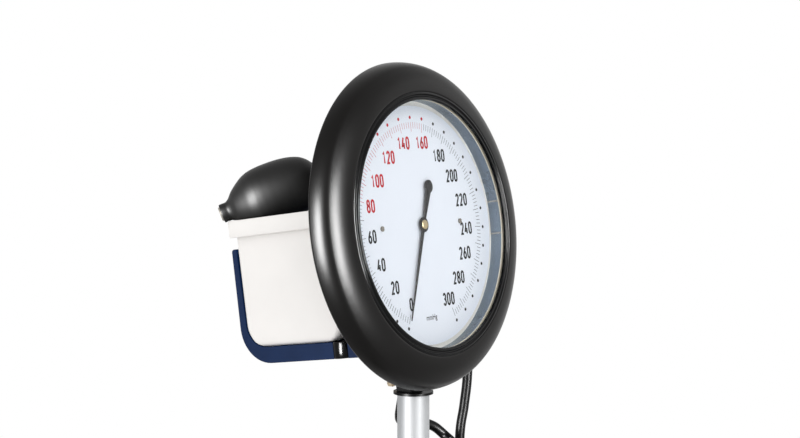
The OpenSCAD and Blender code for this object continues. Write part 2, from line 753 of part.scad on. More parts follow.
// Link from the rocker's front arm to the tail of the sector, with a slot at each end
module link() {
    x0 = tail_r * (1 + cos(sector_sweep / 2)) / 2;
    u_top = sector_u - tail_lift / 2;
    u_low = rocker_axis_u - tail_lift / 2;
    color("#b9bcc0") in_head() difference() {
        union() {
            translate([x0 - 1.7, link_front, u_low + 2]) cube([3.4, link_t, u_top - u_low - 2]);
            translate([x0, link_front, u_top]) to_rear() cylinder(r = 1.7, h = link_t);
            translate([x0 - 1.7, link_front - 1.2, u_low - 1.8]) cube([3.4, link_t + 2.2, 4.4]);
        }
        translate([x0 - 0.75, link_front - 1, u_top - 0.6]) cube([1.5, link_t + 2, 1.2]);
        translate([x0 - 3, link_front - 0.2, u_low - 0.6]) cube([6, link_t + 3, 1.2]);
    }
}

// Rocker: one arm rests on the stud of the capsule, the other works the link
module rocker() {
    x0 = tail_r * (1 + cos(sector_sweep / 2)) / 2;
    color("#c9a24a") in_head() translate([0, rocker_b, rocker_axis_u]) {
        across(1, 21.6);
        rotate([rocker_turn / 2, 0, 0]) {
            translate([x0 - 3.1, -rocker_front, -0.5]) cube([1, rocker_front, 1]);
            translate([x0 - 0.4, -rocker_front, 0]) across(0.5, 5.4);
            translate([-1.5, -0.4, -stud_arm]) cube([3, 0.8, stud_arm]);
            translate([0, 0, -stud_arm]) across(arm_tip_r, 3);
        }
    }
}

module capsule_stud() {
    nose = 1.2;
    color("#c4c6ca") in_head() translate([0, stud_front, stud_u]) to_rear() {
        cylinder(r = 0.8, h = nose + 1);
        translate([0, 0, nose]) cylinder(r = 2, h = capsule_rear - 1.2 - stud_front - nose);
    }
}

module capsule() {
    color("#b08d3e") in_head() translate([0, 0, stud_u]) to_rear() difference() {
        union() {
            rotate_extrude() polygon([[0, capsule_front], [8, capsule_front], [9, capsule_front + 0.6],
                [12, capsule_front + 0.6], [13, capsule_front], [16, capsule_front], [17, capsule_front + 0.6],
                [20, capsule_front + 0.6], [21, capsule_front], [23, capsule_front], [25, capsule_front + 1.6],
                [capsule_r, capsule_front + 1.8], [capsule_r, capsule_front + 2.8], [25, capsule_front + 3],
                [23, capsule_rear - 0.4], [6, capsule_rear - 0.4], [6, case_depth - fit], [0, case_depth - fit]]);
        }
        translate([0, 0, capsule_front - 1]) cylinder(r = 2 + fit, h = capsule_rear - capsule_front);
    }
}

module movement_plate() {
    lug_x = 9.5;
    color("#c2a04c") in_head() difference() {
        union() {
            translate([0, plate_front, 0]) to_rear() linear_extrude(plate_t) {
                polygon([[-58, -6], [-30, -18], [30, -18], [58, -6], [58, 6], [-58, 6]]);
                translate([-26, -6]) square([52, 46]);
                for (s = [-1, 1]) translate([s * lug_x - 1.5, 38]) square([3, 11]);
            }
            for (s = [-1, 1]) translate([s * lug_x - 1.5, plate_front, rocker_axis_u - 2.4])
                cube([3, rocker_b - plate_front + 2.4, 4.8]);
            for (p = pillar_at) translate([p[0], plate_front, p[1]]) to_rear() cylinder(r = 3.4, h = case_depth - plate_front - fit);
            for (s = [-1, 1]) translate([s * screw_x, dial_t + fit, 0]) to_rear() cylinder(r = 3.2, h = plate_front - dial_t);
            translate([9.25, gear_front + gear_t + 0.3, 0]) to_rear() cylinder(r = 0.8, h = 2);
        }
        for (s = [-1, 1]) translate([s * screw_x, dial_t - 1, 0]) to_rear() cylinder(r = 1 + fit, h = 20);
        for (p = pillar_at) translate([p[0], case_depth - 9, p[1]]) to_rear() cylinder(r = 1.5 + fit, h = 20);
        translate([0, plate_front - 1, 0]) to_rear() cylinder(r = 0.8 + fit, h = 5);
        translate([0, plate_front - 1, sector_u]) to_rear() cylinder(r = 1 + fit, h = 5);
        translate([0, rocker_b, rocker_axis_u]) across(1 + fit, 40);
    }
}

// Bridge over the two arbors, on two pillars from the plate
module movement_bridge() {
    post_x = 13;
    post_u = 6;
    color("#c2a04c") in_head() difference() {
        union() {
            translate([0, bridge_front, 0]) to_rear() linear_extrude(bridge_t) {
                polygon([[-post_x - 3, -post_u - 3], [post_x + 3, -post_u - 3], [post_x + 3, -post_u + 3],
                    [5, 4], [5, 28], [-5, 28], [-5, 4], [-post_x - 3, -post_u + 3]]);
            }
            for (s = [-1, 1]) translate([s * post_x, bridge_front, post_u]) to_rear()
                cylinder(r = 2, h = plate_front - bridge_front - fit);
        }
        translate([0, bridge_front - 1, 0]) to_rear() cylinder(r = 0.8 + fit, h = 5);
        translate([0, bridge_front - 1, sector_u]) to_rear() cylinder(r = 1 + fit, h = 5);
    }
}

// Brass pipe from inside the case through the rear cover, an elbow down, and a ferrule for the hose
module pipe_run(p, r) {
    for (i = [0:len(p) - 2]) {
        d = p[i + 1] - p[i];
        translate(p[i]) rotate([0, acos(d[2] / norm(d)), atan2(d[1], d[0])]) cylinder(r = r, h = norm(d));
    }
    for (i = [1:len(p) - 2]) translate(p[i]) sphere(r = r + 0.25);
}

port_back = cover_rear + 2.9;
port_low = -98;
port_out = 13.8;

module pressure_port() {
    color("#c39a45") in_head() {
        pipe_run([[port_x, 15, port_u], [port_x, port_back, port_u], [port_x, port_back, port_low],
            [port_x, port_back + port_out, port_low - port_out]], port_r);
        translate([port_x, cover_rear + fit, port_u]) to_rear() cylinder(r = 4.4, h = 1.2, $fn = 6);
        translate([port_x - 3.4, 13.6, port_u - 3.4]) cube([6.8, 4.8, 6.8]);
        translate([port_x, port_back + port_out - 4, port_low - port_out + 4]) rotate([135, 0, 0])
            cylinder(r = 3.4, h = 5.6);
    }
}

module inner_tube() {
    run = [port_x, port_u - stud_u];
    far = norm(run) - 5.2;
    color("#b87e3a") in_head() translate([0, capsule_front + 2.3, stud_u]) rotate([0, 90 - atan2(run[1], run[0]), 0])
        translate([0, 0, capsule_r + fit]) difference() {
            cylinder(r = 1.5, h = far - capsule_r - fit);
            translate([0, 0, -1]) cylinder(r = 0.8, h = 20);
        }
}

// Basket, cuff and bulb

// Side profile of the lower part of the basket, drawn in by d
module basket_side(d) {
    r = floor_corner - d;
    front = wall_front + draft_x + floor_corner;
    back = wall_back - draft_x - floor_corner;
    u = basket_bottom + floor_corner;
    polygon(concat([[back + r, u + 1], [front - r, u + 1]], arc(front, u, r, 180, 270, 10), arc(back, u, r, -90, 0, 10)));
}

// The side edges are rounded by a stack of profiles, each wider and each drawn in a little more
module basket_shape(t, top) {
    corner = wall_corner - t;
    hull() {
        for (x = [-1, 1], y = [wall_front + wall_corner, wall_back - wall_corner])
            translate([x * (wall_x - wall_corner), y, rim_rise - rim_t - 1]) cylinder(r = corner, h = 1 + top, $fn = 32);
        for (a = [0:18:90]) {
            half = wall_x - draft_x - side_round + (side_round - t) * sin(a);
            rotate([90, 0, 90]) linear_extrude(2 * half, center = true) basket_side(t + (side_round - t) * (1 - cos(a)));
        }
    }
}

module basket() {
    color("#f3f2f0") in_head() difference() {
        union() {
            basket_shape(0, 0);
            difference() {
                translate([0, 0, rim_rise - rim_h]) linear_extrude(rim_h) round_rect(-rim_x, rim_front, rim_x, rim_back, rim_corner);
                translate([0, 0, rim_rise - rim_h - 1]) linear_extrude(rim_h + 1 - rim_t)
                    round_rect(-rim_x + rim_t, rim_front + rim_t, rim_x - rim_t, rim_back - rim_t, rim_corner - rim_t);
            }
        }
        basket_shape(basket_wall, 10);
    }
}

cuff_left = -66;
cuff_b = (rim_front + rim_back) / 2 - 2;
cuff_half_b = rim_back / 2 - rim_front / 2 - rim_over - basket_wall - 5.2;
cuff_top = 10;
cuff_bottom = basket_bottom + basket_wall + 3.2;

module cuff_oval(t) {
    mid = (cuff_top + cuff_bottom) / 2;
    tall = (cuff_top - cuff_bottom) / 2;
    polygon([for (i = [0:47]) let (a = 7.5 * i) [cuff_b + (cuff_half_b - t) * cos(a), mid + (tall - t) * sin(a)]]);
}

// Rolled cuff lying across the basket
module cuff() {
    edge = 3;
    color("#24344f") in_head() translate([cuff_left, 0, 0]) rotate([90, 0, 90]) {
        translate([0, 0, edge]) linear_extrude(cuff_w - 2 * edge) cuff_oval(0);
        linear_extrude(cuff_w) cuff_oval(edge);
    }
}

module cuff_connector() {
    color("#e9e7e0") from_dial() {
        translate([66, 58, -26]) cylinder(r = 2.6, h = 15.8);
        translate([66, 58, -18]) cylinder(r = 4.2, h = 3);
        translate([66, 58, -26]) sphere(r = 2.6);
        translate([cuff_left + cuff_w + soft_gap, 58, -26]) rotate([0, 90, 0])
            cylinder(r = 2.6, h = 66 - cuff_left - cuff_w - soft_gap);
    }
}

module on_bulb() {
    in_head() translate(bulb_neck) rotate([0, 90 - bulb_rise, bulb_turn - 90]) children();
}

bulb_scale = bulb_l / 88;
neck_bore = 4;
bulb_outer = [[0, 7.3], [5, 7.3], [7.4, 8.3], [12.5, 13.4], [18.8, 18.1], [24, 21.2], [29.9, 23.2], [36, 24.1],
    [41.6, 24.2], [47, 24], [52.5, 23.3], [59, 22], [64.9, 20.2], [71.3, 17.4], [76, 13.6], [79.5, 9.8], [82, 7.8], [88, 7.5]];
function bulb_wall_at(p, t) = [max(p[1] * bulb_r / 24.2 - t, neck_bore), p[0] * bulb_scale];

// Rubber bulb; where its neck rests on the rim the rubber gives way
module bulb() {
    color("#151618") difference() {
        on_bulb() rotate_extrude($fn = 48) polygon(concat(
            [for (p = bulb_outer) bulb_wall_at(p, 0)],
            [for (i = [len(bulb_outer) - 1:-1:0]) bulb_wall_at(bulb_outer[i], bulb_wall)]));
        in_head() translate([0, 0, rim_rise - rim_h]) linear_extrude(rim_h + soft_gap)
            round_rect(-rim_x - soft_gap, rim_back - rim_over - basket_wall - 1, rim_x, rim_back + soft_gap, 1);
        in_head() translate([-rim_x - soft_gap, rim_front, rim_rise - rim_h]) cube([rim_over + basket_wall + 1, basket_d, rim_h + soft_gap]);
    }
}

module bulb_end_valve() {
    color("#c4c6ca") on_bulb() difference() {
        union() {
            translate([0, 0, -1.2]) cylinder(r = 5.6, h = 1.1);
            translate([0, 0, -1]) cylinder(r = neck_bore - fit, h = 9);
        }
        translate([0, 0, -2]) cylinder(r = 1.6, h = 12);
    }
}

valve_at = bulb_l + 8;

module valve_body() {
    barb_u = 45;
    color("#c9ccd0") {
        on_bulb() difference() {
            union() {
                translate([0, 0, bulb_l - 6]) cylinder(r = neck_bore - fit, h = 8);
                translate([0, 0, bulb_l + 0.1]) rotate_extrude() polygon([[0, 0], [6, 0], [6, 2], [5.5, 2.5],
                    [5.5, 15], [6, 16], [6, 18], [4.6, 19.9], [0, 19.9]]);
            }
            translate([0, 0, bulb_l + 14]) cylinder(r = 2 + fit, h = 10);
        }
        in_head() translate(hose_end) cylinder(r = 3, h = 8);
    }
}

module release_screw() {
    z = bulb_l + 20.4;
    color("#c4c6ca") on_bulb() {
        translate([0, 0, bulb_l + 14.5]) cylinder(r = 2, h = 8);
        difference() {
            translate([0, 0, z]) rotate_extrude() polygon([[0, 0], [5.6, 0], [6.5, 0.9], [6.5, 8.7], [5.8, 9.4], [0, 9.4]]);
            for (k = [0:15]) rotate(22.5 * k) translate([6.7, 0, z - 1]) cylinder(r = 0.55, h = 12, $fn = 8);
        }
    }
}

// Short hose from the valve's barb down to the cuff
valve_dir = [cos(bulb_rise) * sin(bulb_turn), -cos(bulb_rise) * cos(bulb_turn), sin(bulb_rise)];
valve_mid = bulb_neck + valve_at * valve_dir;
hose_end = [valve_mid[0], valve_mid[1], valve_mid[2] - 9];

module bulb_hose() {
    low = cuff_top - 1.2;
    color("#141516") in_head() translate([hose_end[0], hose_end[1], low]) difference() {
        cylinder(r = hose_d / 2, h = hose_end[2] - low - fit, $fn = 24);
    }
}

// Hoses

module hose_lead() {
    color("#141516") from_dial() tube(smooth(lead_route, 2), hose_d / 2, 10);
}

lead_end = lead_route[len(lead_route) - 1];
lead_heading = unit(lead_end - lead_route[len(lead_route) - 2]);
coil_start = lead_end + 0.1 * lead_heading;
coil_from = 50;
function coil_point(a) = [coil_x + coil_r * cos(a), coil_y - coil_r * sin(a), coil_top - coil_pitch * a / 360];
coil_last = coil_point(360 * coil_turns);
coil_route = concat([coil_start, coil_start + hose_d * lead_heading],
    [for (a = [coil_from:45:360 * coil_turns - 20]) coil_point(a)],
    [coil_last, coil_last + [0, hose_d, -1]]);

// Least gap between strands that are over half a turn apart along the coil, and from the riser to the coil
coil_self_gap = min([for (i = [0:len(coil_route) - 1], j = [i + 6:1:len(coil_route) - 1]) norm(coil_route[i] - coil_route[j])]) - hose_d;
riser_points = smooth(riser_route, 2);
coil_riser_gap = min([for (p = coil_route, i = [8:len(riser_points) - 1]) norm(p - riser_points[i])]) - hose_d;
echo(coil_self_gap = coil_self_gap, coil_riser_gap = coil_riser_gap);

module hose_coil() {
    color("#141516") from_dial() tube(coil_route, hose_d / 2, 6);
}

module hose_riser() {
    color("#141516") from_dial() tube(riser_points, hose_d / 2, 10);
}

star_base();
hub_nut();
lower_tube();
tube_bush();
clamp_collar();
clamp_knob();
upper_tube();
pole_flange();
head_bracket();
bracket_screw();
pivot_pin();
pivot_caps();
basket_cradle();
bezel_ring();
inner_bezel();
window();
window_seal();
dial_plate();
dial_screws();
dial_seat();
case_drum();
rear_cover();
case_screws();
pointer();
pointer_cap();
pinion_arbor();
hairspring();
sector();
link();
rocker();
capsule_stud();
capsule();
movement_plate();
movement_bridge();
pressure_port();
inner_tube();
basket();
cuff();
cuff_connector();
bulb();
bulb_end_valve();
valve_body();
release_screw();
bulb_hose();
hose_lead();
hose_coil();
hose_riser();
caster_hood(1);  // caster_hood_1
caster_hood(2);  // caster_hood_2
caster_hood(3);  // caster_hood_3
caster_hood(4);  // caster_hood_4
caster_hood(5);  // caster_hood_5
caster_wheels(1);  // caster_wheels_1
caster_wheels(2);  // caster_wheels_2
caster_wheels(3);  // caster_wheels_3
caster_wheels(4);  // caster_wheels_4
caster_wheels(5);  // caster_wheels_5
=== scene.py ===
# %% [markdown]
# # A large-dial blood pressure gauge on its stand
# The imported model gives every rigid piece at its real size. Here the pieces get their looks: a camera and
# light like the photograph's, finishes for metal, plastic, rubber and cloth, and the pieces whose form needs
# smooth surfaces, such as the hoses, the bulb, the rolled cuff and the print on the dial.

# %% Load the fixed frame
import math
import bmesh
import bpy
import numpy as np
from mathutils import Matrix, Vector


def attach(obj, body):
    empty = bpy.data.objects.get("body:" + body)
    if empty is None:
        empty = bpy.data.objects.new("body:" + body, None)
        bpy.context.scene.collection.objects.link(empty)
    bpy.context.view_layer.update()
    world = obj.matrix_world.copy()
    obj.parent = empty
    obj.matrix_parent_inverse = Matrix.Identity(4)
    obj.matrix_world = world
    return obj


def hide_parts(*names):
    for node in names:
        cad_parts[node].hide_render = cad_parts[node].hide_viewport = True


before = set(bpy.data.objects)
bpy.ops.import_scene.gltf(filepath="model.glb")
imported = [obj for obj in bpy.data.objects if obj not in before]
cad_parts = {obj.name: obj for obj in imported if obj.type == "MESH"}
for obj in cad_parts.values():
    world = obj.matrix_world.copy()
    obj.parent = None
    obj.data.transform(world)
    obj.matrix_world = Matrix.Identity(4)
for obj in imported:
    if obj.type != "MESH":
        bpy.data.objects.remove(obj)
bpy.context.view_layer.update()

MM = 0.001

# %% [markdown]
# The head leans back on its pivot, so its own axes are handy: x to the right of the dial, b into the depth
# and u up the dial face. Each point of the head is turned by the lean and moved to the centre of the dial. The
# hoses hang straight down, so their routes are written in upright axes from the same centre.

# %% Axes of the head
LEAN = math.radians(8.1)
DIAL_CENTRE = np.array([0.0, -8.0944, 1168.4546])


def head(points):
    """Head axes (x, b, u) in mm to metres in the frame: turned by the lean, then moved to the dial."""
    x, b, u = np.moveaxis(np.asarray(points, float), -1, 0)
    depth = b * math.cos(LEAN) + u * math.sin(LEAN)
    height = u * math.cos(LEAN) - b * math.sin(LEAN)
    return (np.stack([x, depth, height], -1) + DIAL_CENTRE) * MM


def upright(points):
    """Upright axes in mm to metres in the frame: the points moved to the dial's centre."""
    return (np.asarray(points, float) + DIAL_CENTRE) * MM


print("dial centre", head([0, 0, 0]), "lean", round(math.degrees(LEAN), 3), "degrees")

# %% [markdown]
# The photograph was taken from the left of the dial with a long lens, a little above its centre. The view was
# found from the circle of dots on the dial, whose size and spacing are known, so the camera is placed by
# those numbers: its place from the dial, the way it looks and the focal length in pixels.

# %% Camera
IMAGE_WIDTH, SENSOR_WIDTH, FOCAL_PX = 800, 36.0, 1705.0
CAMERA_FROM_DIAL = (-1060.1, -758.0, 99.3)
RIGHT = Vector((0.5921, -0.8059, 0.0)).normalized()
FORWARD = Vector((0.8037, 0.5906, -0.0726)).normalized()
UP = RIGHT.cross(FORWARD).normalized()
camera_data = bpy.data.cameras.new("camera")
camera_data.sensor_width = SENSOR_WIDTH
camera_data.lens = FOCAL_PX / IMAGE_WIDTH * SENSOR_WIDTH
camera = bpy.data.objects.new("camera", camera_data)
axes = Matrix((RIGHT, UP, -FORWARD)).transposed().to_4x4()
camera.matrix_world = Matrix.Translation(Vector(upright(CAMERA_FROM_DIAL))) @ axes
bpy.context.scene.collection.objects.link(camera)
bpy.context.scene.camera = camera
print("lens", round(camera_data.lens, 1), "mm")

# %% [markdown]
# The light is that of a white studio. A bright surround lights every side alike, a soft lamp high on the
# camera's side gives the form, and a weaker one fills in from the right. Dark plastic shows its form only by
# what it mirrors, so two tall strip lamps stand to the left of the dial and in front of it. Only glossy
# surfaces see them, so the pale pieces stay as they are.

# %% Surround and lamps
scene = bpy.context.scene
scene.view_settings.view_transform = "Standard"
world = bpy.data.worlds.new("studio")
scene.world = world
world.use_nodes = True
world.node_tree.nodes["Background"].inputs["Color"].default_value = (1.0, 1.0, 1.0, 1.0)
world.node_tree.nodes["Background"].inputs["Strength"].default_value = 1.0
AIM = (0.0, 0.0, 1.15)
STRIP_HEIGHT = 1.5
STRIPS = {"left_strip": ((-2.2, 0.15, 1.2), 0.8, 600), "front_strip": ((-0.35, -2.3, 1.45), 0.6, 500)}


def soft_lamp(name, place, size, power):
    """A rectangular lamp at a point, turned so that its face, along its minus z, looks at the aim."""
    data = bpy.data.lights.new(name, "AREA")
    data.shape = "RECTANGLE"
    data.size, data.size_y = size
    data.energy = power
    lamp = bpy.data.objects.new(name, data)
    lamp.location = place
    lamp.rotation_euler = (Vector(AIM) - Vector(place)).to_track_quat("-Z", "Y").to_euler()
    scene.collection.objects.link(lamp)
    return lamp


soft_lamp("key_lamp", (-0.9, -2.2, 2.9), (1.2, 0.9), 12)
soft_lamp("fill_lamp", (2.2, -1.2, 1.8), (1.2, 1.6), 5)
for strip_name, (place, width, power) in STRIPS.items():
    strip = soft_lamp(strip_name, place, (width, STRIP_HEIGHT), power)
    strip.visible_diffuse = False
    strip.visible_transmission = False

# %% [markdown]
# The floor is a plain round disc under the casters, wide enough that its edge lies far behind the object.

# %% Floor
FLOOR_R, FLOOR_SIDES = 4.0, 96
floor_angle = np.arange(FLOOR_SIDES) * 2 * math.pi / FLOOR_SIDES
floor_edge = FLOOR_R * np.stack([np.cos(floor_angle), np.sin(floor_angle), 0 * floor_angle], -1)
floor_mesh = bpy.data.meshes.new("floor")
floor_mesh.from_pydata(floor_edge.tolist(), [], [list(range(FLOOR_SIDES))])
floor = bpy.data.objects.new("floor", floor_mesh)
scene.collection.objects.link(floor)
print("floor radius", FLOOR_R, "m")

# %% [markdown]
# A finish is built from a few shader nodes: a noise, a node that carries its 0 to 1 over to another range,
# and a bump that tilts the surface by a height. One short function makes each of them.

# %% Shader nodes
def new_material(name):
    """A material with nodes: gives the material, its node tree and its Principled shader."""
    material = bpy.data.materials.new(name)
    material.use_nodes = True
    return material, material.node_tree, material.node_tree.nodes["Principled BSDF"]


def noise(tree, vector, scale, detail):
    """A noise at the given coordinates times the scale: a factor of 0 to 1 at every point."""
    texture = tree.nodes.new("ShaderNodeTexNoise")
    texture.inputs["Scale"].default_value = scale
    texture.inputs["Detail"].default_value = detail
    tree.links.new(vector, texture.inputs["Vector"])
    return texture.outputs["Fac"]


def carry_over(tree, factor, low, high, target):
    """Low plus the factor times the difference of high and low, put into the target socket."""
    scaled = tree.nodes.new("ShaderNodeMapRange")
    scaled.inputs["To Min"].default_value = low
    scaled.inputs["To Max"].default_value = high
    tree.links.new(factor, scaled.inputs["Value"])
    tree.links.new(scaled.outputs["Result"], target)


def raised(tree, height, strength, distance):
    """A bump node, which tilts the surface by the slope of strength times distance (metres) times height."""
    node = tree.nodes.new("ShaderNodeBump")
    node.inputs["Strength"].default_value = strength
    node.inputs["Distance"].default_value = distance
    tree.links.new(height, node.inputs["Height"])
    return node


# %% [markdown]
# Nothing real has one even colour and gloss. Every finish is a Principled shader with two noises on object
# coordinates: a coarse one that varies the colour and the gloss a little, as moulding, handling and polishing
# do, and a fine one that raises a slight grain. The shine is the strength of the mirrored light, 0.5 for
# clean plastic. Where the photograph shows a duller surface it is set lower.

# %% A finish with grain and wear
PATCH_SCALE, PATCH_DETAIL, GRAIN_DETAIL, GRAIN_HEIGHT = 25.0, 4.0, 3.0, 0.0004
RAMP_STOPS = (0.3, 0.7)


def linear(c):
    """A colour of 0 to 255 a channel, as seen on a screen, to linear values: the sRGB curve undone."""
    c = np.asarray(c, float) / 255.0
    return np.where(c <= 0.04045, c / 12.92, ((c + 0.055) / 1.055) ** 2.4)


def finish(name, colour, rough, metal=0.0, shine=0.5, grain=600.0, bump=0.05, vary=0.06, spread=0.08,
           stretch=(1, 1, 1)):
    """Colour times one plus or minus vary, and roughness plus or minus spread, by the coarse noise; the fine
    noise times bump is the height of the grain."""
    material, tree, shader = new_material(name)
    coords = tree.nodes.new("ShaderNodeTexCoord")
    mapping = tree.nodes.new("ShaderNodeMapping")
    mapping.inputs["Scale"].default_value = stretch
    tree.links.new(coords.outputs["Object"], mapping.inputs["Vector"])
    patches = noise(tree, mapping.outputs["Vector"], PATCH_SCALE, PATCH_DETAIL)
    ramp = tree.nodes.new("ShaderNodeValToRGB")
    for k, factor in enumerate((1 - vary, 1 + vary)):
        ramp.color_ramp.elements[k].position = RAMP_STOPS[k]
        ramp.color_ramp.elements[k].color = (*np.clip(linear(colour) * factor, 0, 1), 1)
    tree.links.new(patches, ramp.inputs["Fac"])
    tree.links.new(ramp.outputs["Color"], shader.inputs["Base Color"])
    carry_over(tree, patches, max(0.02, rough - spread), min(1.0, rough + spread), shader.inputs["Roughness"])
    grains = noise(tree, mapping.outputs["Vector"], grain, GRAIN_DETAIL)
    grain_bump = raised(tree, grains, bump, GRAIN_HEIGHT)
    tree.links.new(grain_bump.outputs["Normal"], shader.inputs["Normal"])
    shader.inputs["Metallic"].default_value = metal
    shader.inputs["Specular IOR Level"].default_value = shine
    return material


print("a screen grey of 128 is", linear(128).round(3))

# %% [markdown]
# The plastics come first: satin black for the ring, gloss for the trim, navy for the cradle, white for the
# basket and matt black nylon for the stand. Then come the metals. The drawn tube of the pole has a grain
# stretched along its length.

# %% Plastics, rubber and paint
ring_plastic = finish("ring_plastic", (9, 7, 6), 0.3, shine=0.1, grain=2600, bump=0.08, vary=0.1, spread=0.03)
flange_black = finish("flange_black", (6, 6, 7), 0.34, shine=0.05, grain=900, bump=0.01, spread=0.03)
gloss_black = finish("gloss_black", (7, 7, 8), 0.17, shine=0.1, grain=900, bump=0.01, spread=0.03)
basket_white = finish("basket_white", (252, 249, 246), 0.5, shine=0.04, grain=1400, bump=0.06, vary=0.02)
navy_plastic = finish("navy_plastic", (17, 42, 82), 0.5, shine=0.02, grain=3200, bump=0.25, vary=0.16)
black_nylon = finish("black_nylon", (24, 25, 27), 0.68, shine=0.0, grain=1800, bump=0.15, vary=0.08)
dial_white = finish("dial_white", (226, 232, 241), 0.7, shine=0.02, grain=1200, bump=0.02, vary=0.012)
seat_beige = finish("seat_beige", (214, 212, 204), 0.55, grain=1200, vary=0.03)
seal_cream = finish("seal_cream", (214, 205, 182), 0.6, grain=1200, bump=0.08, vary=0.05)
pointer_black = finish("pointer_black", (15, 15, 17), 0.36, shine=0.08, grain=1500, bump=0.04)
black_rubber = finish("black_rubber", (9, 8, 7), 0.46, shine=0.15, grain=1600, bump=0.1, vary=0.1)
hose_black = finish("hose_black", (8, 8, 9), 0.34, shine=0.08, grain=500, bump=0.0, vary=0.08, spread=0.02)
caster_tread = finish("caster_tread", (48, 49, 52), 0.6, grain=900, bump=0.2, vary=0.12)
connector_white = finish("connector_white", (228, 226, 218), 0.4, shine=0.1, grain=1200, vary=0.03)
print("finishes", len(bpy.data.materials))

# %% Metals
satin_tube = finish("satin_tube", (172, 174, 176), 0.52, metal=0.04, shine=0.2, grain=300, bump=0.03,
                    vary=0.03, spread=0.03, stretch=(60, 60, 1))
# The steel of the dial screws is darkened: painted shade for the dark holes that the screws sit in.
screw_steel_painted_shade = finish("screw_steel_painted_shade", (112, 108, 100), 0.35, metal=0.6, shine=0.1, grain=900, bump=0.03)
dull_brass = finish("dull_brass", (140, 127, 98), 0.4, metal=0.35, shine=0.1, grain=900, bump=0.03)
pale_brass = finish("pale_brass", (196, 178, 152), 0.3, metal=0.5, shine=0.1, grain=900, bump=0.03)
black_metal = finish("black_metal", (18, 19, 21), 0.5, shine=0.03, grain=1500, bump=0.12, vary=0.08)
drum_grey = finish("drum_grey", (108, 121, 134), 0.3, metal=0.7, grain=900)
zinc_steel = finish("zinc_steel", (186, 189, 193), 0.35, metal=1.0, grain=900)
nickel = finish("nickel", (160, 156, 148), 0.25, metal=1.0, grain=900, bump=0.03)
brass = finish("brass", (158, 132, 88), 0.3, metal=1.0, grain=700, bump=0.04, vary=0.12)
copper_tube = finish("copper_tube", (190, 128, 70), 0.3, metal=1.0, grain=700, bump=0.04)
print("finishes", len(bpy.data.materials))

# %% [markdown]
# The window is clear plastic. A thin sheet that bends no light keeps the dial sharp, so nearly all the light
# goes straight through, and only a small share, the alpha, is given back by the sheet.

# %% Window
WINDOW_ALPHA, WINDOW_SHINE, WINDOW_ROUGH = 0.02, 0.1, (0.02, 0.06)
HAZE_SCALE, HAZE_DETAIL = 40.0, 2.0


def clear_sheet(name):
    """Mostly see-through; the roughness of the share that is seen varies between two values by a noise."""
    material, tree, shader = new_material(name)
    shader.inputs["Base Color"].default_value = (1, 1, 1, 1)
    shader.inputs["Alpha"].default_value = WINDOW_ALPHA
    shader.inputs["Specular IOR Level"].default_value = WINDOW_SHINE
    coords = tree.nodes.new("ShaderNodeTexCoord")
    haze = noise(tree, coords.outputs["Object"], HAZE_SCALE, HAZE_DETAIL)
    carry_over(tree, haze, *WINDOW_ROUGH, shader.inputs["Roughness"])
    return material


window_clear = clear_sheet("window_clear")
print("window", window_clear.name)

# %% [markdown]
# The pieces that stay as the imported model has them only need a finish. Those that get a new form below are
# not in this list.

# %% Finishes of the CAD nodes
CASTERS = range(1, 6)
DRESSED = (
    (black_nylon, ["star_base", "tube_bush", "clamp_collar", "clamp_knob"]),
    (black_nylon, [f"caster_hood_{k}" for k in CASTERS]),
    (caster_tread, [f"caster_wheels_{k}" for k in CASTERS]),
    (satin_tube, ["lower_tube", "upper_tube"]),
    (flange_black, ["pole_flange"]),
    (black_metal, ["head_bracket", "rear_cover"]),
    (pale_brass, ["bracket_screw"]),
    (zinc_steel, ["hub_nut", "pivot_pin", "hairspring", "link", "capsule_stud"]),
    (navy_plastic, ["basket_cradle"]),
    (window_clear, ["window"]),
    (seal_cream, ["window_seal"]),
    (dial_white, ["dial_plate"]),
    (screw_steel_painted_shade, ["dial_screws"]),
    (seat_beige, ["dial_seat"]),
    (drum_grey, ["case_drum"]),
    (dull_brass, ["pointer_cap"]),
    (nickel, ["case_screws", "bulb_end_valve", "valve_body", "release_screw"]),
    (brass, ["pinion_arbor", "sector", "rocker", "capsule"]),
    (brass, ["movement_plate", "movement_bridge", "pressure_port"]),
    (copper_tube, ["inner_tube"]),
    (connector_white, ["cuff_connector"]),
)
for material, node_names in DRESSED:
    for node_name in node_names:
        node_data = bpy.data.objects[node_name].data
        node_data.materials.clear()
        node_data.materials.append(material)
print("CAD nodes finished", sum(len(node_names) for _, node_names in DRESSED))

# %% [markdown]
# Most forms here are grids: rows of points that follow one another, joined by four-sided faces. A grid that
# runs round in one direction is a tube, and one that runs round in both is a ring. Closed shapes are then
# cleaned: doubled points merge, and every face is turned outwards, so that light falls on the right side.

# %% Surfaces from grids
MERGE_DISTANCE = 1e-7


def put_mesh(name, vertices, faces, material, smooth=True):
    """A mesh object from an array of vertices (metres) and rows of vertex numbers, with one finish."""
    mesh = bpy.data.meshes.new(name)
    mesh.from_pydata(np.asarray(vertices, float).tolist(), [], faces)
    mesh.validate()
    mesh.materials.append(material)
    mesh.polygons.foreach_set("use_smooth", np.full(len(mesh.polygons), smooth))
    piece = bpy.data.objects.new(name, mesh)
    scene.collection.objects.link(piece)
    return piece


def put_solid(name, vertices, faces, material, crease):
    """A closed mesh object, cleaned and smooth, with sharp edges where faces meet at more than the crease."""
    piece = put_mesh(name, vertices, faces, material)
    work = bmesh.new()
    work.from_mesh(piece.data)
    bmesh.ops.remove_doubles(work, verts=work.verts, dist=MERGE_DISTANCE)
    bmesh.ops.recalc_face_normals(work, faces=work.faces)
    work.to_mesh(piece.data)
    work.free()
    piece.data.polygons.foreach_set("use_smooth", np.ones(len(piece.data.polygons), bool))
    piece.data.set_sharp_from_angle(angle=math.radians(crease))
    return piece


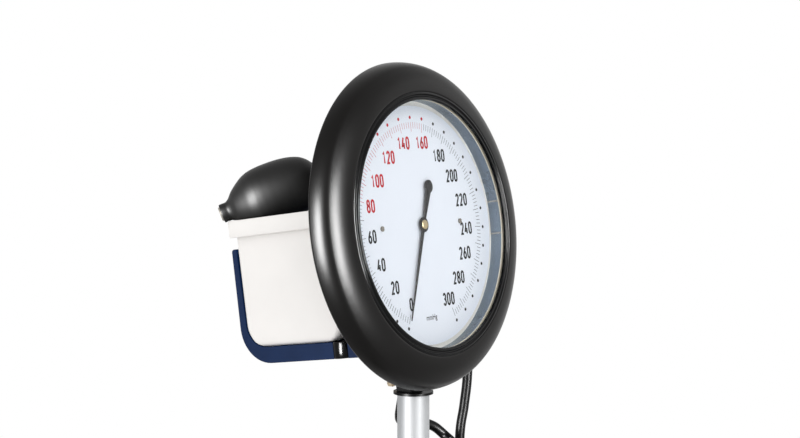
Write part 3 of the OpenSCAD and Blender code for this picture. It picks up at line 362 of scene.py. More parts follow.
def grid_faces(rows, columns, closed_rows=False, closed_columns=False):
    """Quads of a grid of rows times columns, numbered row by row, wrapped round where it is closed."""
    r = np.arange(rows if closed_rows else rows - 1)
    c = np.arange(columns if closed_columns else columns - 1)
    r, c = (g.ravel() for g in np.meshgrid(r, c, indexing="ij"))
    r2, c2 = (r + 1) % rows, (c + 1) % columns
    return np.stack([r * columns + c, r * columns + c2, r2 * columns + c2, r2 * columns + c], -1)


def closed_faces(rows, columns):
    """Quads of a grid whose columns run round, with one face over its first row and one over its last."""
    first = list(range(columns))
    last = [(rows - 1) * columns + k for k in first]
    return grid_faces(rows, columns, closed_columns=True).tolist() + [first, last]


print("faces of a closed tube of 3 rings with 8 sides", len(closed_faces(3, 8)))

# %% [markdown]
# A hose is a circle carried along a path. At each point the circle lies square to the path, and its starting
# direction is passed on from ring to ring, so that the tube doesn't twist. The path itself is a smooth curve
# through a few listed points.

# %% Tubes along a path
CURVE_STEPS, START_DIRECTION = 24, (0.31, 0.87, 0.4)


def path_frames(path):
    """Two unit vectors square to the path at each point. The first is the one before it, less its part along
    the path; the second is the cross product of the path's direction and the first."""
    tangent = np.gradient(path, axis=0)
    tangent /= np.linalg.norm(tangent, axis=1)[:, None]
    side = np.zeros_like(path)
    v = np.cross(tangent[0], START_DIRECTION)
    for i, t in enumerate(tangent):
        v = v - t * v.dot(t)
        v = v / np.linalg.norm(v)
        side[i] = v
    return side, np.cross(tangent, side)


def tube_mesh(path, radius, sides):
    """Path point plus radius times (side times cos a plus other times sin a); fans close the two ends."""
    side, other = path_frames(path)
    a = np.arange(sides)[None, :, None] * 2 * math.pi / sides
    r = np.broadcast_to(np.asarray(radius, float), (len(path),))[:, None, None]
    wall = (path[:, None] + r * (np.cos(a) * side[:, None] + np.sin(a) * other[:, None])).reshape(-1, 3)
    n, last = len(wall), (len(path) - 1) * sides
    faces = grid_faces(len(path), sides, closed_columns=True)[:, ::-1].tolist()
    faces += [(n, k, (k + 1) % sides) for k in range(sides)]
    faces += [(n + 1, last + (k + 1) % sides, last + k) for k in range(sides)]
    return np.concatenate([wall, path[:1], path[-1:]]), faces


def smooth_path(points, spacing):
    """A Catmull-Rom curve: from point b to c a cubic whose slope at b is half of c less a, and at c half of d
    less b. It is then cut into even steps of about the spacing."""
    p = np.asarray(points, float)
    q = np.concatenate([p[:1] * 2 - p[1:2], p, p[-1:] * 2 - p[-2:-1]])
    t = np.linspace(0, 1, CURVE_STEPS, endpoint=False)[:, None]
    spans = [b + 0.5 * ((c - a) * t + (2 * a - 5 * b + 4 * c - d) * t ** 2 + (3 * b - a - 3 * c + d) * t ** 3)
             for a, b, c, d in zip(q, q[1:], q[2:], q[3:])]
    fine = np.concatenate(spans + [p[-1:]])
    along = np.concatenate([[0], np.cumsum(np.linalg.norm(np.diff(fine, axis=0), axis=1))])
    even = np.linspace(0, along[-1], max(4, int(along[-1] / spacing)))
    return np.stack([np.interp(even, along, fine[:, k]) for k in range(3)], -1)


def length_of(path):
    """Sum of the steps of a path."""
    return float(np.linalg.norm(np.diff(path, axis=0), axis=1).sum())


# %% [markdown]
# The hose is one run of black PVC tube in three stretches: a lead that leaves the brass pipe under the head,
# a spring coil beside the pole, and a riser that comes up past the ring and drops into the basket, to the
# cuff. Each stretch follows the route of its CAD solid. The coil is a helix: a circle that goes down as it
# turns. The coil's route starts with three points straight on from the lead's end, so that the two join.

# %% Routes of the hoses
LEAD_ROUTE = [[18, 22, -116], [18, 26.8, -122.4], [18, 30, -130], [18.5, 32, -139], [19.5, 34.5, -148],
              [21.5, 37, -155], [27, 40, -160], [36, 41, -163], [47, 39.5, -165], [57, 36.5, -167],
              [65, 33, -171], [70.5, 28, -177.5], [70.5, 21.5, -181.5]]
RISER_ROUTE = [[33, 31.3, -374.3], [33, 39, -375.3], [36, 46, -381], [43, 51, -392], [53, 53, -404],
               [64, 51, -411], [76, 46, -412], [86, 40, -404], [92, 35, -390], [94, 31, -370], [94, 28, -335],
               [92, 26, -290], [90, 25, -240], [88, 24.5, -183], [92, 23, -156], [95, 22, -134],
               [97, 22, -100], [98, 23, -60], [98, 24, -20], [97, 26, 0], [94, 30, 15], [88, 36, 25],
               [80, 43, 28], [72, 50, 23], [67, 55.5, 12], [66, 58, 0], [66, 58, -10]]
COIL_TURNS, COIL_PITCH, COIL_R, COIL_AT, COIL_TOP = 15.5, 12.0, 19.0, (52.0, 23.0), -187.3
COIL_START, COIL_STEP, COIL_TAIL = 50 / 360, 1 / 24, (0, 8, -1)
LEAD_ON = np.array([[0.1], [4.0], [8.0]])


def coil_points(turns):
    """A helix: x and y on a circle, clockwise from above, and z down by a pitch for each turn."""
    a = 2 * math.pi * turns
    x, y = COIL_AT[0] + COIL_R * np.cos(a), COIL_AT[1] - COIL_R * np.sin(a)
    return np.stack([x, y, COIL_TOP - COIL_PITCH * turns], -1)


lead_end = np.array(LEAD_ROUTE[-1], float)
lead_heading = lead_end - LEAD_ROUTE[-2]
lead_heading /= np.linalg.norm(lead_heading)
coil_end = coil_points(np.array([COIL_TURNS]))
coil_route = np.concatenate([lead_end + LEAD_ON * lead_heading,
                             coil_points(np.arange(COIL_START, COIL_TURNS - 0.02, COIL_STEP)),
                             coil_end, coil_end + COIL_TAIL])
print("coil route", len(coil_route), "points")

# %% Hoses
HOSE_R, HOSE_SIDES, HOSE_SPACING = 4.0, 20, 1.5
for node, route in (("hose_lead", LEAD_ROUTE), ("hose_coil", coil_route), ("hose_riser", RISER_ROUTE)):
    path = upright(smooth_path(route, HOSE_SPACING))
    hose = put_mesh(node + "_smooth", *tube_mesh(path, HOSE_R * MM, HOSE_SIDES), hose_black)
    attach(hose, "head")
    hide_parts(node)
    print(node, round(length_of(path), 3), "m")

# %% [markdown]
# The dial's print is a thin layer of ink. Each mark is a flat shape that lies just in front of the plate:
# dots on a circle, one for every 10, ticks just inside them, one for every 2, and numbers in a narrow upright
# face. Values from 80 to 160 are red. Zero is at 157.5 degrees to the left of the top, and each unit turns
# 1.05 degrees clockwise.

# %% Ink on the dial
INK_B = -0.03
ink_black = finish("ink_black", (20, 21, 24), 0.5, shine=0.02, grain=1500, bump=0.02)
ink_grey = finish("ink_grey", (62, 66, 78), 0.5, shine=0.02, grain=1500, bump=0.02)
ink_red = finish("ink_red", (186, 8, 30), 0.5, shine=0.02, grain=1500, bump=0.02)
ink_rose = finish("ink_rose", (188, 88, 104), 0.5, shine=0.02, grain=1500, bump=0.02)


def on_dial(flat):
    """Flat points (x, u) in mm, given the depth of the ink, to metres in the frame."""
    return head(np.insert(np.asarray(flat, float), 1, INK_B, axis=1))


def flat_marks(name, outlines, material):
    """One mesh of flat polygons (x, u) in mm, wound to face the reader: where the sum of the cross products
    of neighbouring points is negative, the points are taken in reverse."""
    wound = []
    for outline in outlines:
        o = np.asarray(outline, float)
        area = np.sum(o[:, 0] * np.roll(o[:, 1], -1) - np.roll(o[:, 0], -1) * o[:, 1])
        wound.append(o if area > 0 else o[::-1])
    starts = np.cumsum([0] + [len(o) for o in wound])
    faces = [list(range(start, stop)) for start, stop in zip(starts, starts[1:])]
    piece = put_mesh(name, on_dial(np.concatenate(wound)), faces, material, smooth=False)
    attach(piece, "head")
    return piece


print("ink lies", -INK_B, "mm in front of the plate")

# %% Dots and ticks
ZERO_DEGREES, UNIT_DEGREES = -157.5, 1.05
DOT_CIRCLE, DOT_R, DOT_SIDES = 83.0, 1.3, 16
TICK_OUTER, TICK_LONG, TICK_SHORT, TICK_HALF = 79.3, 72.0, 74.5, 0.2
TENS, TWOS = np.arange(0, 301, 10), np.arange(0, 301, 2)


def is_red(value):
    """The values that are printed in red."""
    return 80 <= value <= 160


def dial_angle(value):
    """Clockwise angle from the top in radians: the value times its degrees a unit, from the zero's place."""
    return np.radians(np.asarray(value, float) * UNIT_DEGREES + ZERO_DEGREES)


def on_circle(r, a):
    """Point at radius r and clockwise angle a from the top: x = r sin a and u = r cos a."""
    return np.stack([r * np.sin(a), r * np.cos(a)], -1)


def dot(value):
    """A small circle about a point of the dot circle."""
    t = np.linspace(0, 2 * math.pi, DOT_SIDES, endpoint=False)
    return on_circle(DOT_CIRCLE, dial_angle(value)) + DOT_R * np.stack([np.cos(t), np.sin(t)], -1)


def tick(value):
    """A thin radial bar, longer at the tens: its inner and outer point, each moved to both sides."""
    a = dial_angle(value)
    across = np.array([np.cos(a), -np.sin(a)]) * TICK_HALF
    p, q = on_circle(TICK_LONG if value % 10 == 0 else TICK_SHORT, a), on_circle(TICK_OUTER, a)
    return [p - across, p + across, q + across, q - across]


flat_marks("dots_black", [dot(v) for v in TENS if not is_red(v)], ink_black)
flat_marks("dots_red", [dot(v) for v in TENS if is_red(v)], ink_red)
flat_marks("ticks_grey", [tick(v) for v in TWOS if not is_red(v)], ink_grey)
flat_marks("ticks_rose", [tick(v) for v in TWOS if is_red(v)], ink_rose)
print("ticks", len(TWOS), "dots", len(TENS))

# %% [markdown]
# The numbers are drawn as strokes of even width, as on technical dials. Each figure is a few lines and arcs
# in a box one unit wide and two high. Every stroke is a ribbon about its line, and the figures stand upright
# wherever they are on the dial.

# %% Lines of the figures
def arc_line(cx, cy, rx, ry, start, stop, n=10):
    """Points of an ellipse: centre plus rx cos t and ry sin t, t in degrees from +x, anticlockwise."""
    t = np.radians(np.linspace(start, stop, n))
    return np.stack([cx + rx * np.cos(t), cy + ry * np.sin(t)], -1)


def joined(*parts):
    """Points of several stretches as one line."""
    return np.concatenate(parts)


FIGURES = {
    "0": [joined(arc_line(0.5, 1.5, 0.5, 0.5, 0, 180), arc_line(0.5, 0.5, 0.5, 0.5, 180, 360), [[1, 1.5]])],
    "1": [[[0.18, 1.55], [0.62, 2.0], [0.62, 0.0]]],
    "2": [joined(arc_line(0.5, 1.5, 0.48, 0.5, 170, -35), [[0.05, 0.0], [1.0, 0.0]])],
    "3": [joined(arc_line(0.48, 1.52, 0.46, 0.48, 160, -80), arc_line(0.48, 0.52, 0.5, 0.52, 80, -160))],
    "4": [[[0.62, 2.0], [0.0, 0.5], [1.04, 0.5]], [[0.76, 1.05], [0.76, 0.0]]],
    "6": [joined([[0.78, 2.0], [0.1, 0.95]], arc_line(0.5, 0.55, 0.5, 0.55, 160, 520, 20))],
    "8": [arc_line(0.5, 0.53, 0.5, 0.53, 90, 450, 18), arc_line(0.5, 1.53, 0.44, 0.47, -90, 270, 18)],
}
print("figures", sorted(FIGURES))

# %% Numbers
FIGURE_H, FIGURE_W, STROKE, PITCH, LEAST_MEAN = 10.3, 4.8, 1.75, 5.4, 0.3
NUMBER_AT = {0: (-25.2, -59.0), 20: (-43.1, -44.6), 40: (-56.9, -26.4), 60: (-63.9, -5.0), 80: (-61.6, 17.6),
             100: (-50.1, 35.9), 120: (-33.1, 53.0), 140: (-12.1, 63.3), 160: (11.9, 63.3), 180: (32.6, 52.5),
             200: (47.2, 36.2), 220: (56.6, 16.7), 240: (59.0, -6.2), 260: (53.4, -25.4), 280: (41.0, -44.0),
             300: (24.2, -59.3)}


def ribbon(line, half):
    """A line given a width: each point is moved to both sides along the mean of its two normals, divided by
    that mean's squared length, so that the width stays even round a bend."""
    line = np.asarray(line, float)
    step = np.diff(line, axis=0)
    step /= np.linalg.norm(step, axis=1)[:, None]
    normal = np.stack([-step[:, 1], step[:, 0]], -1)
    mean = np.concatenate([normal[:1], (normal[:-1] + normal[1:]) / 2, normal[-1:]])
    mean /= np.maximum(np.sum(mean * mean, axis=1), LEAST_MEAN)[:, None]
    left, right = line + half * mean, line - half * mean
    return [np.array(corners) for corners in zip(right, right[1:], left[1:], left)]


def number_marks(value):
    """The ribbons of a number's figures, side by side at the pitch, centred on the number's place."""
    text, strokes = str(value), []
    scale = np.array([FIGURE_W - STROKE, (FIGURE_H - STROKE) / 2])
    for i, figure in enumerate(text):
        to_left = PITCH * (i - (len(text) - 1) / 2) - scale[0] / 2
        origin = np.array(NUMBER_AT[value]) + [to_left, -scale[1]]
        for line in FIGURES[figure]:
            strokes += ribbon(np.asarray(line) * scale + origin, STROKE / 2)
    return strokes


red_strokes = [stroke for value in NUMBER_AT if is_red(value) for stroke in number_marks(value)]
black_strokes = [stroke for value in NUMBER_AT if not is_red(value) for stroke in number_marks(value)]
flat_marks("numbers_red", red_strokes, ink_red)
flat_marks("numbers_black", black_strokes, ink_black)
print("numbers", len(NUMBER_AT))

# %% [markdown]
# The big ring is a smooth moulded shell with a full flank, a gentle shoulder towards the window and a flat
# back. It is a turned shape. Its profile, as radius and depth, is an ellipse for the flank and a circular arc
# of 35 mm for the shoulder. The inside follows at about the thickness of the wall.

# %% Turned shapes
def turned(name, profile, material, sides, crease=40.0, place=head):
    """A closed profile (radius, depth) carried round the depth axis: x = r sin a, b = depth, u = r cos a."""
    a = np.linspace(0, 2 * math.pi, sides, endpoint=False)
    r, b = np.hsplit(np.asarray(profile, float), 2)
    points = np.stack([r * np.sin(a), b + 0 * a, r * np.cos(a)], -1).reshape(-1, 3)
    faces = grid_faces(len(profile), sides, closed_rows=True, closed_columns=True).tolist()
    return put_solid(name, place(points), faces, material, crease)


def ellipse_part(centre, half_r, half_b, start, stop, n):
    """Points (r, b) of an ellipse: r = centre + half_r cos t, b = centre - half_b sin t."""
    t = np.radians(np.linspace(start, stop, n))
    return np.stack([centre[0] + half_r * np.cos(t), centre[1] - half_b * np.sin(t)], -1)


def shallow_arc(p, q, radius, n):
    """Points of an arc from p to q. Its centre lies square to the middle of the chord, at the root of the
    radius squared less half the chord squared; the sign of the radius says on which side."""
    p, q = np.asarray(p, float), np.asarray(q, float)
    half, middle = np.linalg.norm(q - p) / 2, (p + q) / 2
    d = (q - p) / (2 * half)
    centre = middle + math.copysign(math.sqrt(radius ** 2 - half ** 2), radius) * np.array([d[1], -d[0]])
    a, b = (math.atan2(*(v - centre)[::-1]) for v in (p, q))
    t = np.linspace(a, b, n)
    return centre + abs(radius) * np.stack([np.cos(t), np.sin(t)], -1)


# %% Ring
RING_WALL, SHOULDER_R, MOUTH_R, SEAT_R, BACK_B, INSIDE_B = 3.0, 35.0, 101.4, 97.25, 8.6, 5.6
FLANK, FLANK_HALF_R, FLANK_HALF_B = (117.2, BACK_B), 9.4, 17.3
EDGE_AT, EDGE_R = (124.0, 6.1), 2.5
flank = ellipse_part(FLANK, FLANK_HALF_R, FLANK_HALF_B, 8.5, 69.4, 26)
quarter = np.linspace(0, math.pi / 2, 6)
rear_edge = EDGE_AT + EDGE_R * np.stack([np.sin(quarter), np.cos(quarter)], -1)
shoulder = shallow_arc(flank[-1], (MOUTH_R + 0.5, -13.9), SHOULDER_R, 22)
mouth = [[MOUTH_R + 0.05, -13.75], [MOUTH_R, -13.4], [MOUTH_R, -10.9]]
inner_shoulder = shallow_arc((MOUTH_R + RING_WALL, -10.9), flank[-1] + [-1.8, 2.7], RING_WALL - SHOULDER_R, 8)
inner_flank = ellipse_part(FLANK, FLANK_HALF_R - RING_WALL, FLANK_HALF_B - RING_WALL, 67.4, 12, 8)
ring_profile = np.concatenate([[[SEAT_R, INSIDE_B], [SEAT_R, BACK_B]], rear_edge, flank, shoulder[1:], mouth,
                               inner_shoulder, inner_flank, [[121.6, INSIDE_B]]])
ring = turned("ring_shell", ring_profile, ring_plastic, 256)
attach(ring, "head")
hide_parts("bezel_ring")
print("ring profile", len(ring_profile), "points")

# %% [markdown]
# Inside the ring's mouth sits a glossy trim: a lip round the window, a groove and a lower ridge outside it.
# Its profile is turned in the same way, with a higher crease angle, so that lip and ridge stay round and
# mirror the lamps as thin lines.

# %% Glossy trim
trim_profile = [[94.8, -14.2], [94.95, -14.5], [95.3, -14.7], [96.3, -14.7], [96.7, -14.55], [97.2, -13.9],
                [97.7, -13.35], [98.1, -13.2], [98.6, -13.4], [99.0, -14.0], [99.3, -14.35], [99.6, -14.4],
                [99.95, -14.2], [100.5, -14.1], [101.2, -13.7], [101.35, -13.4], [101.35, -6.7],
                [97.25, -6.7], [97.25, -12.55], [94.8, -12.55]]
trim = turned("ring_trim", trim_profile, gloss_black, 256, crease=60.0)
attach(trim, "head")
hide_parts("inner_bezel")
print("trim profile", len(trim_profile), "points")

# %% [markdown]
# The drum behind the dial is rolled from a strip of sheet metal. In the photograph its inner wall shows a lap
# at the right of the dial, with a bright edge above and below, and a lap is what such a strip leaves where
# its ends meet. Each is a thin band that covers a few degrees of the wall.

# %% Lap of the drum
LAP_R, BAND_CREASE = 95.95, 40.0
# The two edge bands take the paler nickel finish instead of the drum's grey: a painted highlight for the light
# that the lap's edges catch.
DRUM_BANDS = (("drum_lap", 82.0, 98.0, -9.2, 0.4, 95.45, drum_grey, 24),
              ("lap_edge_highlight_upper", 81.8, 82.6, -9.1, 0.3, 95.2, nickel, 3),
              ("lap_edge_highlight_lower", 97.4, 98.2, -9.1, 0.3, 95.2, nickel, 3))


def drum_band(name, start, stop, front, rear, inner_r, material, steps):
    """Four corners (radius, depth) carried from one clockwise angle in degrees to another."""
    a = np.radians(np.linspace(start, stop, steps))[:, None]
    r = np.array([LAP_R, inner_r, inner_r, LAP_R])
    b = np.broadcast_to([front, front, rear, rear], (steps, 4))
    points = head(np.stack([r * np.sin(a), b, r * np.cos(a)], -1).reshape(-1, 3))
    band = put_solid(name, points, closed_faces(steps, 4), material, BAND_CREASE)
    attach(band, "head")
    return band


print("bands", [drum_band(*row).name for row in DRUM_BANDS])

# %% [markdown]
# At each end of the tilt pin the cradle ends in a glossy black upright barrel. The photograph shows the left
# one, between the ring and the basket, as a dark shape with bright upright streaks. A barrel is a profile of
# radius and height with bevelled rims, turned about its own upright axis.

# %% Barrels at the ends of the pin
BARREL_R, BARREL_H, BARREL_SIDES, BARREL_CREASE = 9.0, 6.2, 64, 40.0
CRADLE_X, BARREL_PROUD = 76.6, 2.0
BARREL_X, BARREL_B, BARREL_U = CRADLE_X + BARREL_PROUD - BARREL_R, 33.0, -85.8
barrel_top = np.array([[0.0, BARREL_H], [BARREL_R - 0.6, BARREL_H], [BARREL_R - 0.2, BARREL_H - 0.15],
                       [BARREL_R, BARREL_H - 0.5]])
barrel_profile = np.concatenate([barrel_top, barrel_top[::-1] * [1, -1]])


def barrels():
    """Two barrels in one mesh: x = r cos a and b = r sin a about each one's own axis, at the height h."""
    a = np.linspace(0, 2 * math.pi, BARREL_SIDES, endpoint=False)
    r, h = np.hsplit(barrel_profile, 2)
    one = np.stack([r * np.cos(a), BARREL_B + r * np.sin(a), BARREL_U + h + 0 * a], -1).reshape(-1, 3)
    points = np.concatenate([one - [BARREL_X, 0, 0], one + [BARREL_X, 0, 0]])
    sides = grid_faces(len(barrel_profile), BARREL_SIDES, closed_columns=True)
    faces = np.concatenate([sides, sides + len(one)]).tolist()
    return put_solid("pivot_barrels", head(points), faces, gloss_black, BARREL_CREASE)


caps = barrels()
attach(caps, "head")
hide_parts("pivot_caps")
print("barrels at x", round(BARREL_X, 1), "mm")

# %% [markdown]
# The bulb is dipped rubber: a full belly, a long taper to the neck and a short collar at each end. It is a
# turned shape about its own axis, which lies across the basket's rear left corner. Where rubber meets the rim
# it gives way.

# %% Axes of the bulb
RIM_TOP, RIM_X, RIM_FRONT, RIM_BACK = 19.7, 82.0, 22.5, 127.5
RIM_REACH, RIM_MARGIN, RIM_LIFT = 7.5, 1.0, 0.35
BULB_TURN, BULB_RISE = math.radians(40), math.radians(15.3)
BULB_NECK = np.array([-80.5, RIM_BACK + 3, RIM_TOP + 6.4])
BULB_AXIS = np.array([math.cos(BULB_RISE) * math.sin(BULB_TURN), -math.cos(BULB_RISE) * math.cos(BULB_TURN),
                      math.sin(BULB_RISE)])
BULB_SIDE = np.cross(BULB_AXIS, [0, 0, 1]) / np.linalg.norm(np.cross(BULB_AXIS, [0, 0, 1]))
BULB_UP = np.cross(BULB_SIDE, BULB_AXIS)


def on_bulb(points):
    """The bulb's own axes to head axes in mm: the neck plus sideways, along and up times their directions."""
    return BULB_NECK + np.asarray(points, float) @ np.stack([BULB_SIDE, BULB_AXIS, BULB_UP])


def give_way(points):
    """Points over the rim's left and rear side and lower than its top are lifted to just above the top."""
    x, b, u = points.T
    near = (x < RIM_REACH - RIM_X) | (b > RIM_BACK - RIM_REACH)
    over = near & (x > -RIM_X - RIM_MARGIN) & (b < RIM_BACK + RIM_MARGIN)
    lifted = np.where(over & (u < RIM_TOP + RIM_LIFT), RIM_TOP + RIM_LIFT, u)
    return np.stack([x, b, lifted], -1)


print("bulb's axis", BULB_AXIS.round(3))

# %% Bulb
BELLY = np.array([[0, 7.0], [0.6, 7.3], [2.5, 7.4], [5, 7.3], [7.4, 8.3], [12.5, 13.4], [18.8, 18.1],
                  [24, 21.2], [29.9, 23.2], [36, 24.0], [41.6, 24.2], [47, 24.1], [52.5, 23.8], [59, 23],
                  [64.9, 21.7], [71.3, 19.2], [76, 15.6], [79.5, 11.2], [82, 8.2], [85, 7.45], [87.4, 7.5],
                  [88, 7.2]])
BULB_INSIDE = [[4.0, 88], [4.0, 80], [14.6, 71], [20.4, 52], [21.2, 40], [18.1, 24], [4.6, 8], [4.0, 0]]


def cubic(x, knots, values):
    """Smooth interpolation: the slope at a knot is the harmonic mean of its two neighbouring slopes, or 0
    where they differ in sign; between two knots runs the cubic with those values and slopes."""
    h, d = np.diff(knots), np.diff(values) / np.diff(knots)
    same_sign = d[:-1] * d[1:] > 0
    inner_slopes = np.where(same_sign, 2 * d[:-1] * d[1:] / (d[:-1] + d[1:] + 1e-12), 0)
    m = np.concatenate([d[:1], inner_slopes, d[-1:]])
    i = np.clip(np.searchsorted(knots, x) - 1, 0, len(h) - 1)
    t = (x - knots[i]) / h[i]
    from_values = (1 + 2 * t) * (1 - t) ** 2 * values[i] + t * t * (3 - 2 * t) * values[i + 1]
    return from_values + h[i] * (t * (1 - t) ** 2 * m[i] + t * t * (t - 1) * m[i + 1])


bulb_steps = np.concatenate([np.linspace(0, 0.6, 3), np.linspace(0.9, 87.4, 110), np.linspace(87.6, 88, 3)])
bulb_outside = np.stack([cubic(bulb_steps, BELLY[:, 0], BELLY[:, 1]), bulb_steps], -1)
bulb = turned("bulb_rubber", np.concatenate([bulb_outside, BULB_INSIDE]), black_rubber, 96, crease=50.0,
              place=lambda p: head(give_way(on_bulb(p))))
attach(bulb, "head")
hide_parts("bulb")
print("bulb", len(bulb.data.vertices), "points")

# %% [markdown]
# The basket is a thin white moulding with soft corners. Each level of it is a rectangle with round corners,
# so the whole wall is a stack of such outlines: up the inside, over the rim, down the skirt, back up under it
# and down the outside. Near the floor the short ends follow a quarter circle of 18 mm and the long sides one
# of 5 mm. Above that the walls lean out by a hair, the draft that lets a moulding leave its mould.

# %% Levels of the basket
HALF_X, HALF_B, BASKET_WALL, BASKET_DEPTH, DRAFT = 77.6, 48.1, 2.4, 99.0, 0.4
END_R, SIDE_R, CORNER_R, LEAST_CORNER = 18.0, 5.0, 5.0, 0.8
BASKET_MID, BASKET_BOTTOM = (RIM_FRONT + RIM_BACK) / 2, RIM_TOP - BASKET_DEPTH
CORNER_STEPS, UNDER_RIM = 9, 2.2


def rounded_level(half_x, half_b, radius, u):
    """One outline: four quarter circles of the radius about the corners of the inner rectangle."""
    points = []
    for q, (sx, sb) in enumerate(((1, 1), (-1, 1), (-1, -1), (1, -1))):
        t = np.radians(np.linspace(90 * q, 90 * q + 90, CORNER_STEPS))
        x = sx * (half_x - radius) + radius * np.cos(t)
        b = BASKET_MID + sb * (half_b - radius) + radius * np.sin(t)
        points.append(np.stack([x, b, np.full(CORNER_STEPS, u)], -1))
    return np.concatenate(points)


def wall_levels(inset):
    """Rows of (half x, half b, corner radius, u) from the floor to under the rim, at an inset from outside.
    At the angle f a quarter circle has risen by r (1 - cos f) and gone out by r sin f."""
    end, side = END_R - inset, SIDE_R - inset
    f = np.radians(np.linspace(4, 90, 14))
    up = end * (1 - np.cos(f))
    drawn_in = side - np.sqrt(np.maximum(side ** 2 - np.maximum(side - up, 0) ** 2, 0))
    corner = np.maximum(np.minimum(CORNER_R, CORNER_R * np.sin(f) + 1) - inset, LEAST_CORNER)
    low = np.stack([HALF_X - DRAFT - inset - drawn_in, HALF_B - DRAFT - END_R + end * np.sin(f), corner,
                    BASKET_BOTTOM + inset + up], -1)
    s = np.linspace(0.12, 1, 8)
    back = DRAFT * (1 - s) + inset
    high = np.stack([HALF_X - back, HALF_B - back, np.full(len(s), CORNER_R - inset),
                     BASKET_BOTTOM + END_R + (BASKET_DEPTH - END_R - UNDER_RIM) * s], -1)
    return np.concatenate([low, high])


print("basket bottom", round(BASKET_BOTTOM, 1), "mm")

# %% Basket
RIM_LEVELS = [(75.2, 45.7, 2.6, 19.1), (75.5, 46.0, 2.9, 19.5), (76.2, 46.7, 3.4, 19.7),
              (80.9, 51.4, 5.2, 19.7), (81.6, 52.1, 5.7, 19.45), (82.0, 52.5, 6.0, 18.8),
              (82.0, 52.5, 6.0, 7.2), (81.8, 52.3, 5.8, 6.75), (81.3, 51.8, 5.4, 6.6),
              (80.6, 51.1, 4.8, 6.65), (80.1, 50.6, 4.3, 6.9), (80.0, 50.5, 4.0, 7.5),
              (80.0, 50.5, 4.0, 17.3), (79.6, 50.1, 4.0, 17.7), (77.9, 48.4, 5.0, 17.7)]
levels = np.concatenate([wall_levels(BASKET_WALL), RIM_LEVELS, wall_levels(0.0)[::-1]])
basket_points = np.concatenate([rounded_level(*level) for level in levels])
columns = 4 * CORNER_STEPS
floor_corners = [q * CORNER_STEPS for q in range(4)]
faces = grid_faces(len(levels), columns, closed_columns=True).tolist()
faces += [floor_corners, [(len(levels) - 1) * columns + i for i in floor_corners]]
basket = put_solid("basket_shell", head(basket_points), faces, basket_white, 50.0)
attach(basket, "head")
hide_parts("basket")
print("basket", len(levels), "levels of", columns)

# %% [markdown]
# The cuff is rolled up and lies across the basket. It is cloth round a flat bladder, so the roll is one long
# strip with a little thickness, wound into an oval. Its weave is too fine for faces, so it is a bump: two
# crossed waves over a map of the strip, whose one axis runs along the strip and the other across it.

# %% Cloth
WEAVE_SCALE, WEAVE_STRENGTH, WEAVE_HEIGHT, SHEEN = 320.0, 0.5, 0.0003, 0.3


def woven(name, colour):
    """Cloth: the product of two crossed waves is the height of the weave, on top of the finish's grain."""
    material = finish(name, colour, 0.85, grain=2400, bump=0.2, vary=0.15)
    tree = material.node_tree
    shader = tree.nodes["Principled BSDF"]
    shader.inputs["Sheen Weight"].default_value = SHEEN
    grain_bump = next(node for node in tree.nodes if node.type == "BUMP")
    cloth_map = tree.nodes.new("ShaderNodeUVMap")
    cloth_map.uv_map = "cloth"
    both = tree.nodes.new("ShaderNodeMath")
    both.operation = "MULTIPLY"
    for k, direction in enumerate(("X", "Y")):
        wave = tree.nodes.new("ShaderNodeTexWave")
        wave.bands_direction = direction
        wave.inputs["Scale"].default_value = WEAVE_SCALE
        tree.links.new(cloth_map.outputs["UV"], wave.inputs["Vector"])
        tree.links.new(wave.outputs["Fac"], both.inputs[k])
    weave = raised(tree, both.outputs["Value"], WEAVE_STRENGTH, WEAVE_HEIGHT)
    tree.links.new(grain_bump.outputs["Normal"], weave.inputs["Normal"])
    tree.links.new(weave.outputs["Normal"], shader.inputs["Normal"])
    return material


cuff_cloth = woven("cuff_cloth", (34, 52, 88))
print("cloth", cuff_cloth.name)

# %% [markdown]
# The roll is a spiral that grows by one layer with each turn. Across it lies the cuff's width: the cloth is
# thin at both edges, full in the middle, and drawn in at a seam near each edge.

# %% Rolled cuff
CUFF_X, CUFF_B, CUFF_HALF_B, CUFF_TOP, CUFF_BOTTOM = -66.0, 73.0, 40.5, 10.0, BASKET_BOTTOM + 5.6
LAYER, CLOTH_T, TURNS, ROLL_STEPS, CUFF_CREASE = 4.6, 3.7, 7.6, 380, 60.0
ACROSS = np.array([0, 0.6, 2.2, 4.2, 5.0, 5.8, 8.5, 20, 40, 59, 78, 98, 109.5, 112.2, 113, 113.8, 115.8,
                   117.4, 118])
THICK = np.array([0.35, 0.75, 0.85, 0.7, 0.5, 0.75, 0.95, 1, 1, 1, 1, 1, 0.95, 0.75, 0.5, 0.7, 0.85, 0.75,
                  0.35])


def roll_point(t, offset):
    """Oval spiral: b and u are the half sizes times cos t and sin t. Both half sizes grow by one layer each
    turn, and the offset is added to them."""
    grow = LAYER * (t / (2 * math.pi) - TURNS) - CLOTH_T / 2 + offset
    half_u = (CUFF_TOP - CUFF_BOTTOM) / 2
    return CUFF_B + (CUFF_HALF_B + grow) * np.cos(t), CUFF_TOP - half_u + (half_u + grow) * np.sin(t)


section_x = np.concatenate([ACROSS, ACROSS[::-1]]) + CUFF_X
section_h = np.concatenate([THICK, -THICK[::-1]]) * CLOTH_T / 2
t = np.linspace(0.35 * math.pi, 2 * math.pi * TURNS, ROLL_STEPS)
b, u = roll_point(t[:, None], section_h[None, :])
roll_points = np.stack([np.broadcast_to(section_x, b.shape), b, u], -1).reshape(-1, 3)
cuff = put_mesh("cuff_roll", head(roll_points), closed_faces(*b.shape), cuff_cloth)
cuff.data.set_sharp_from_angle(angle=math.radians(CUFF_CREASE))
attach(cuff, "head")
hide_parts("cuff")
print("cuff", b.shape, "points")

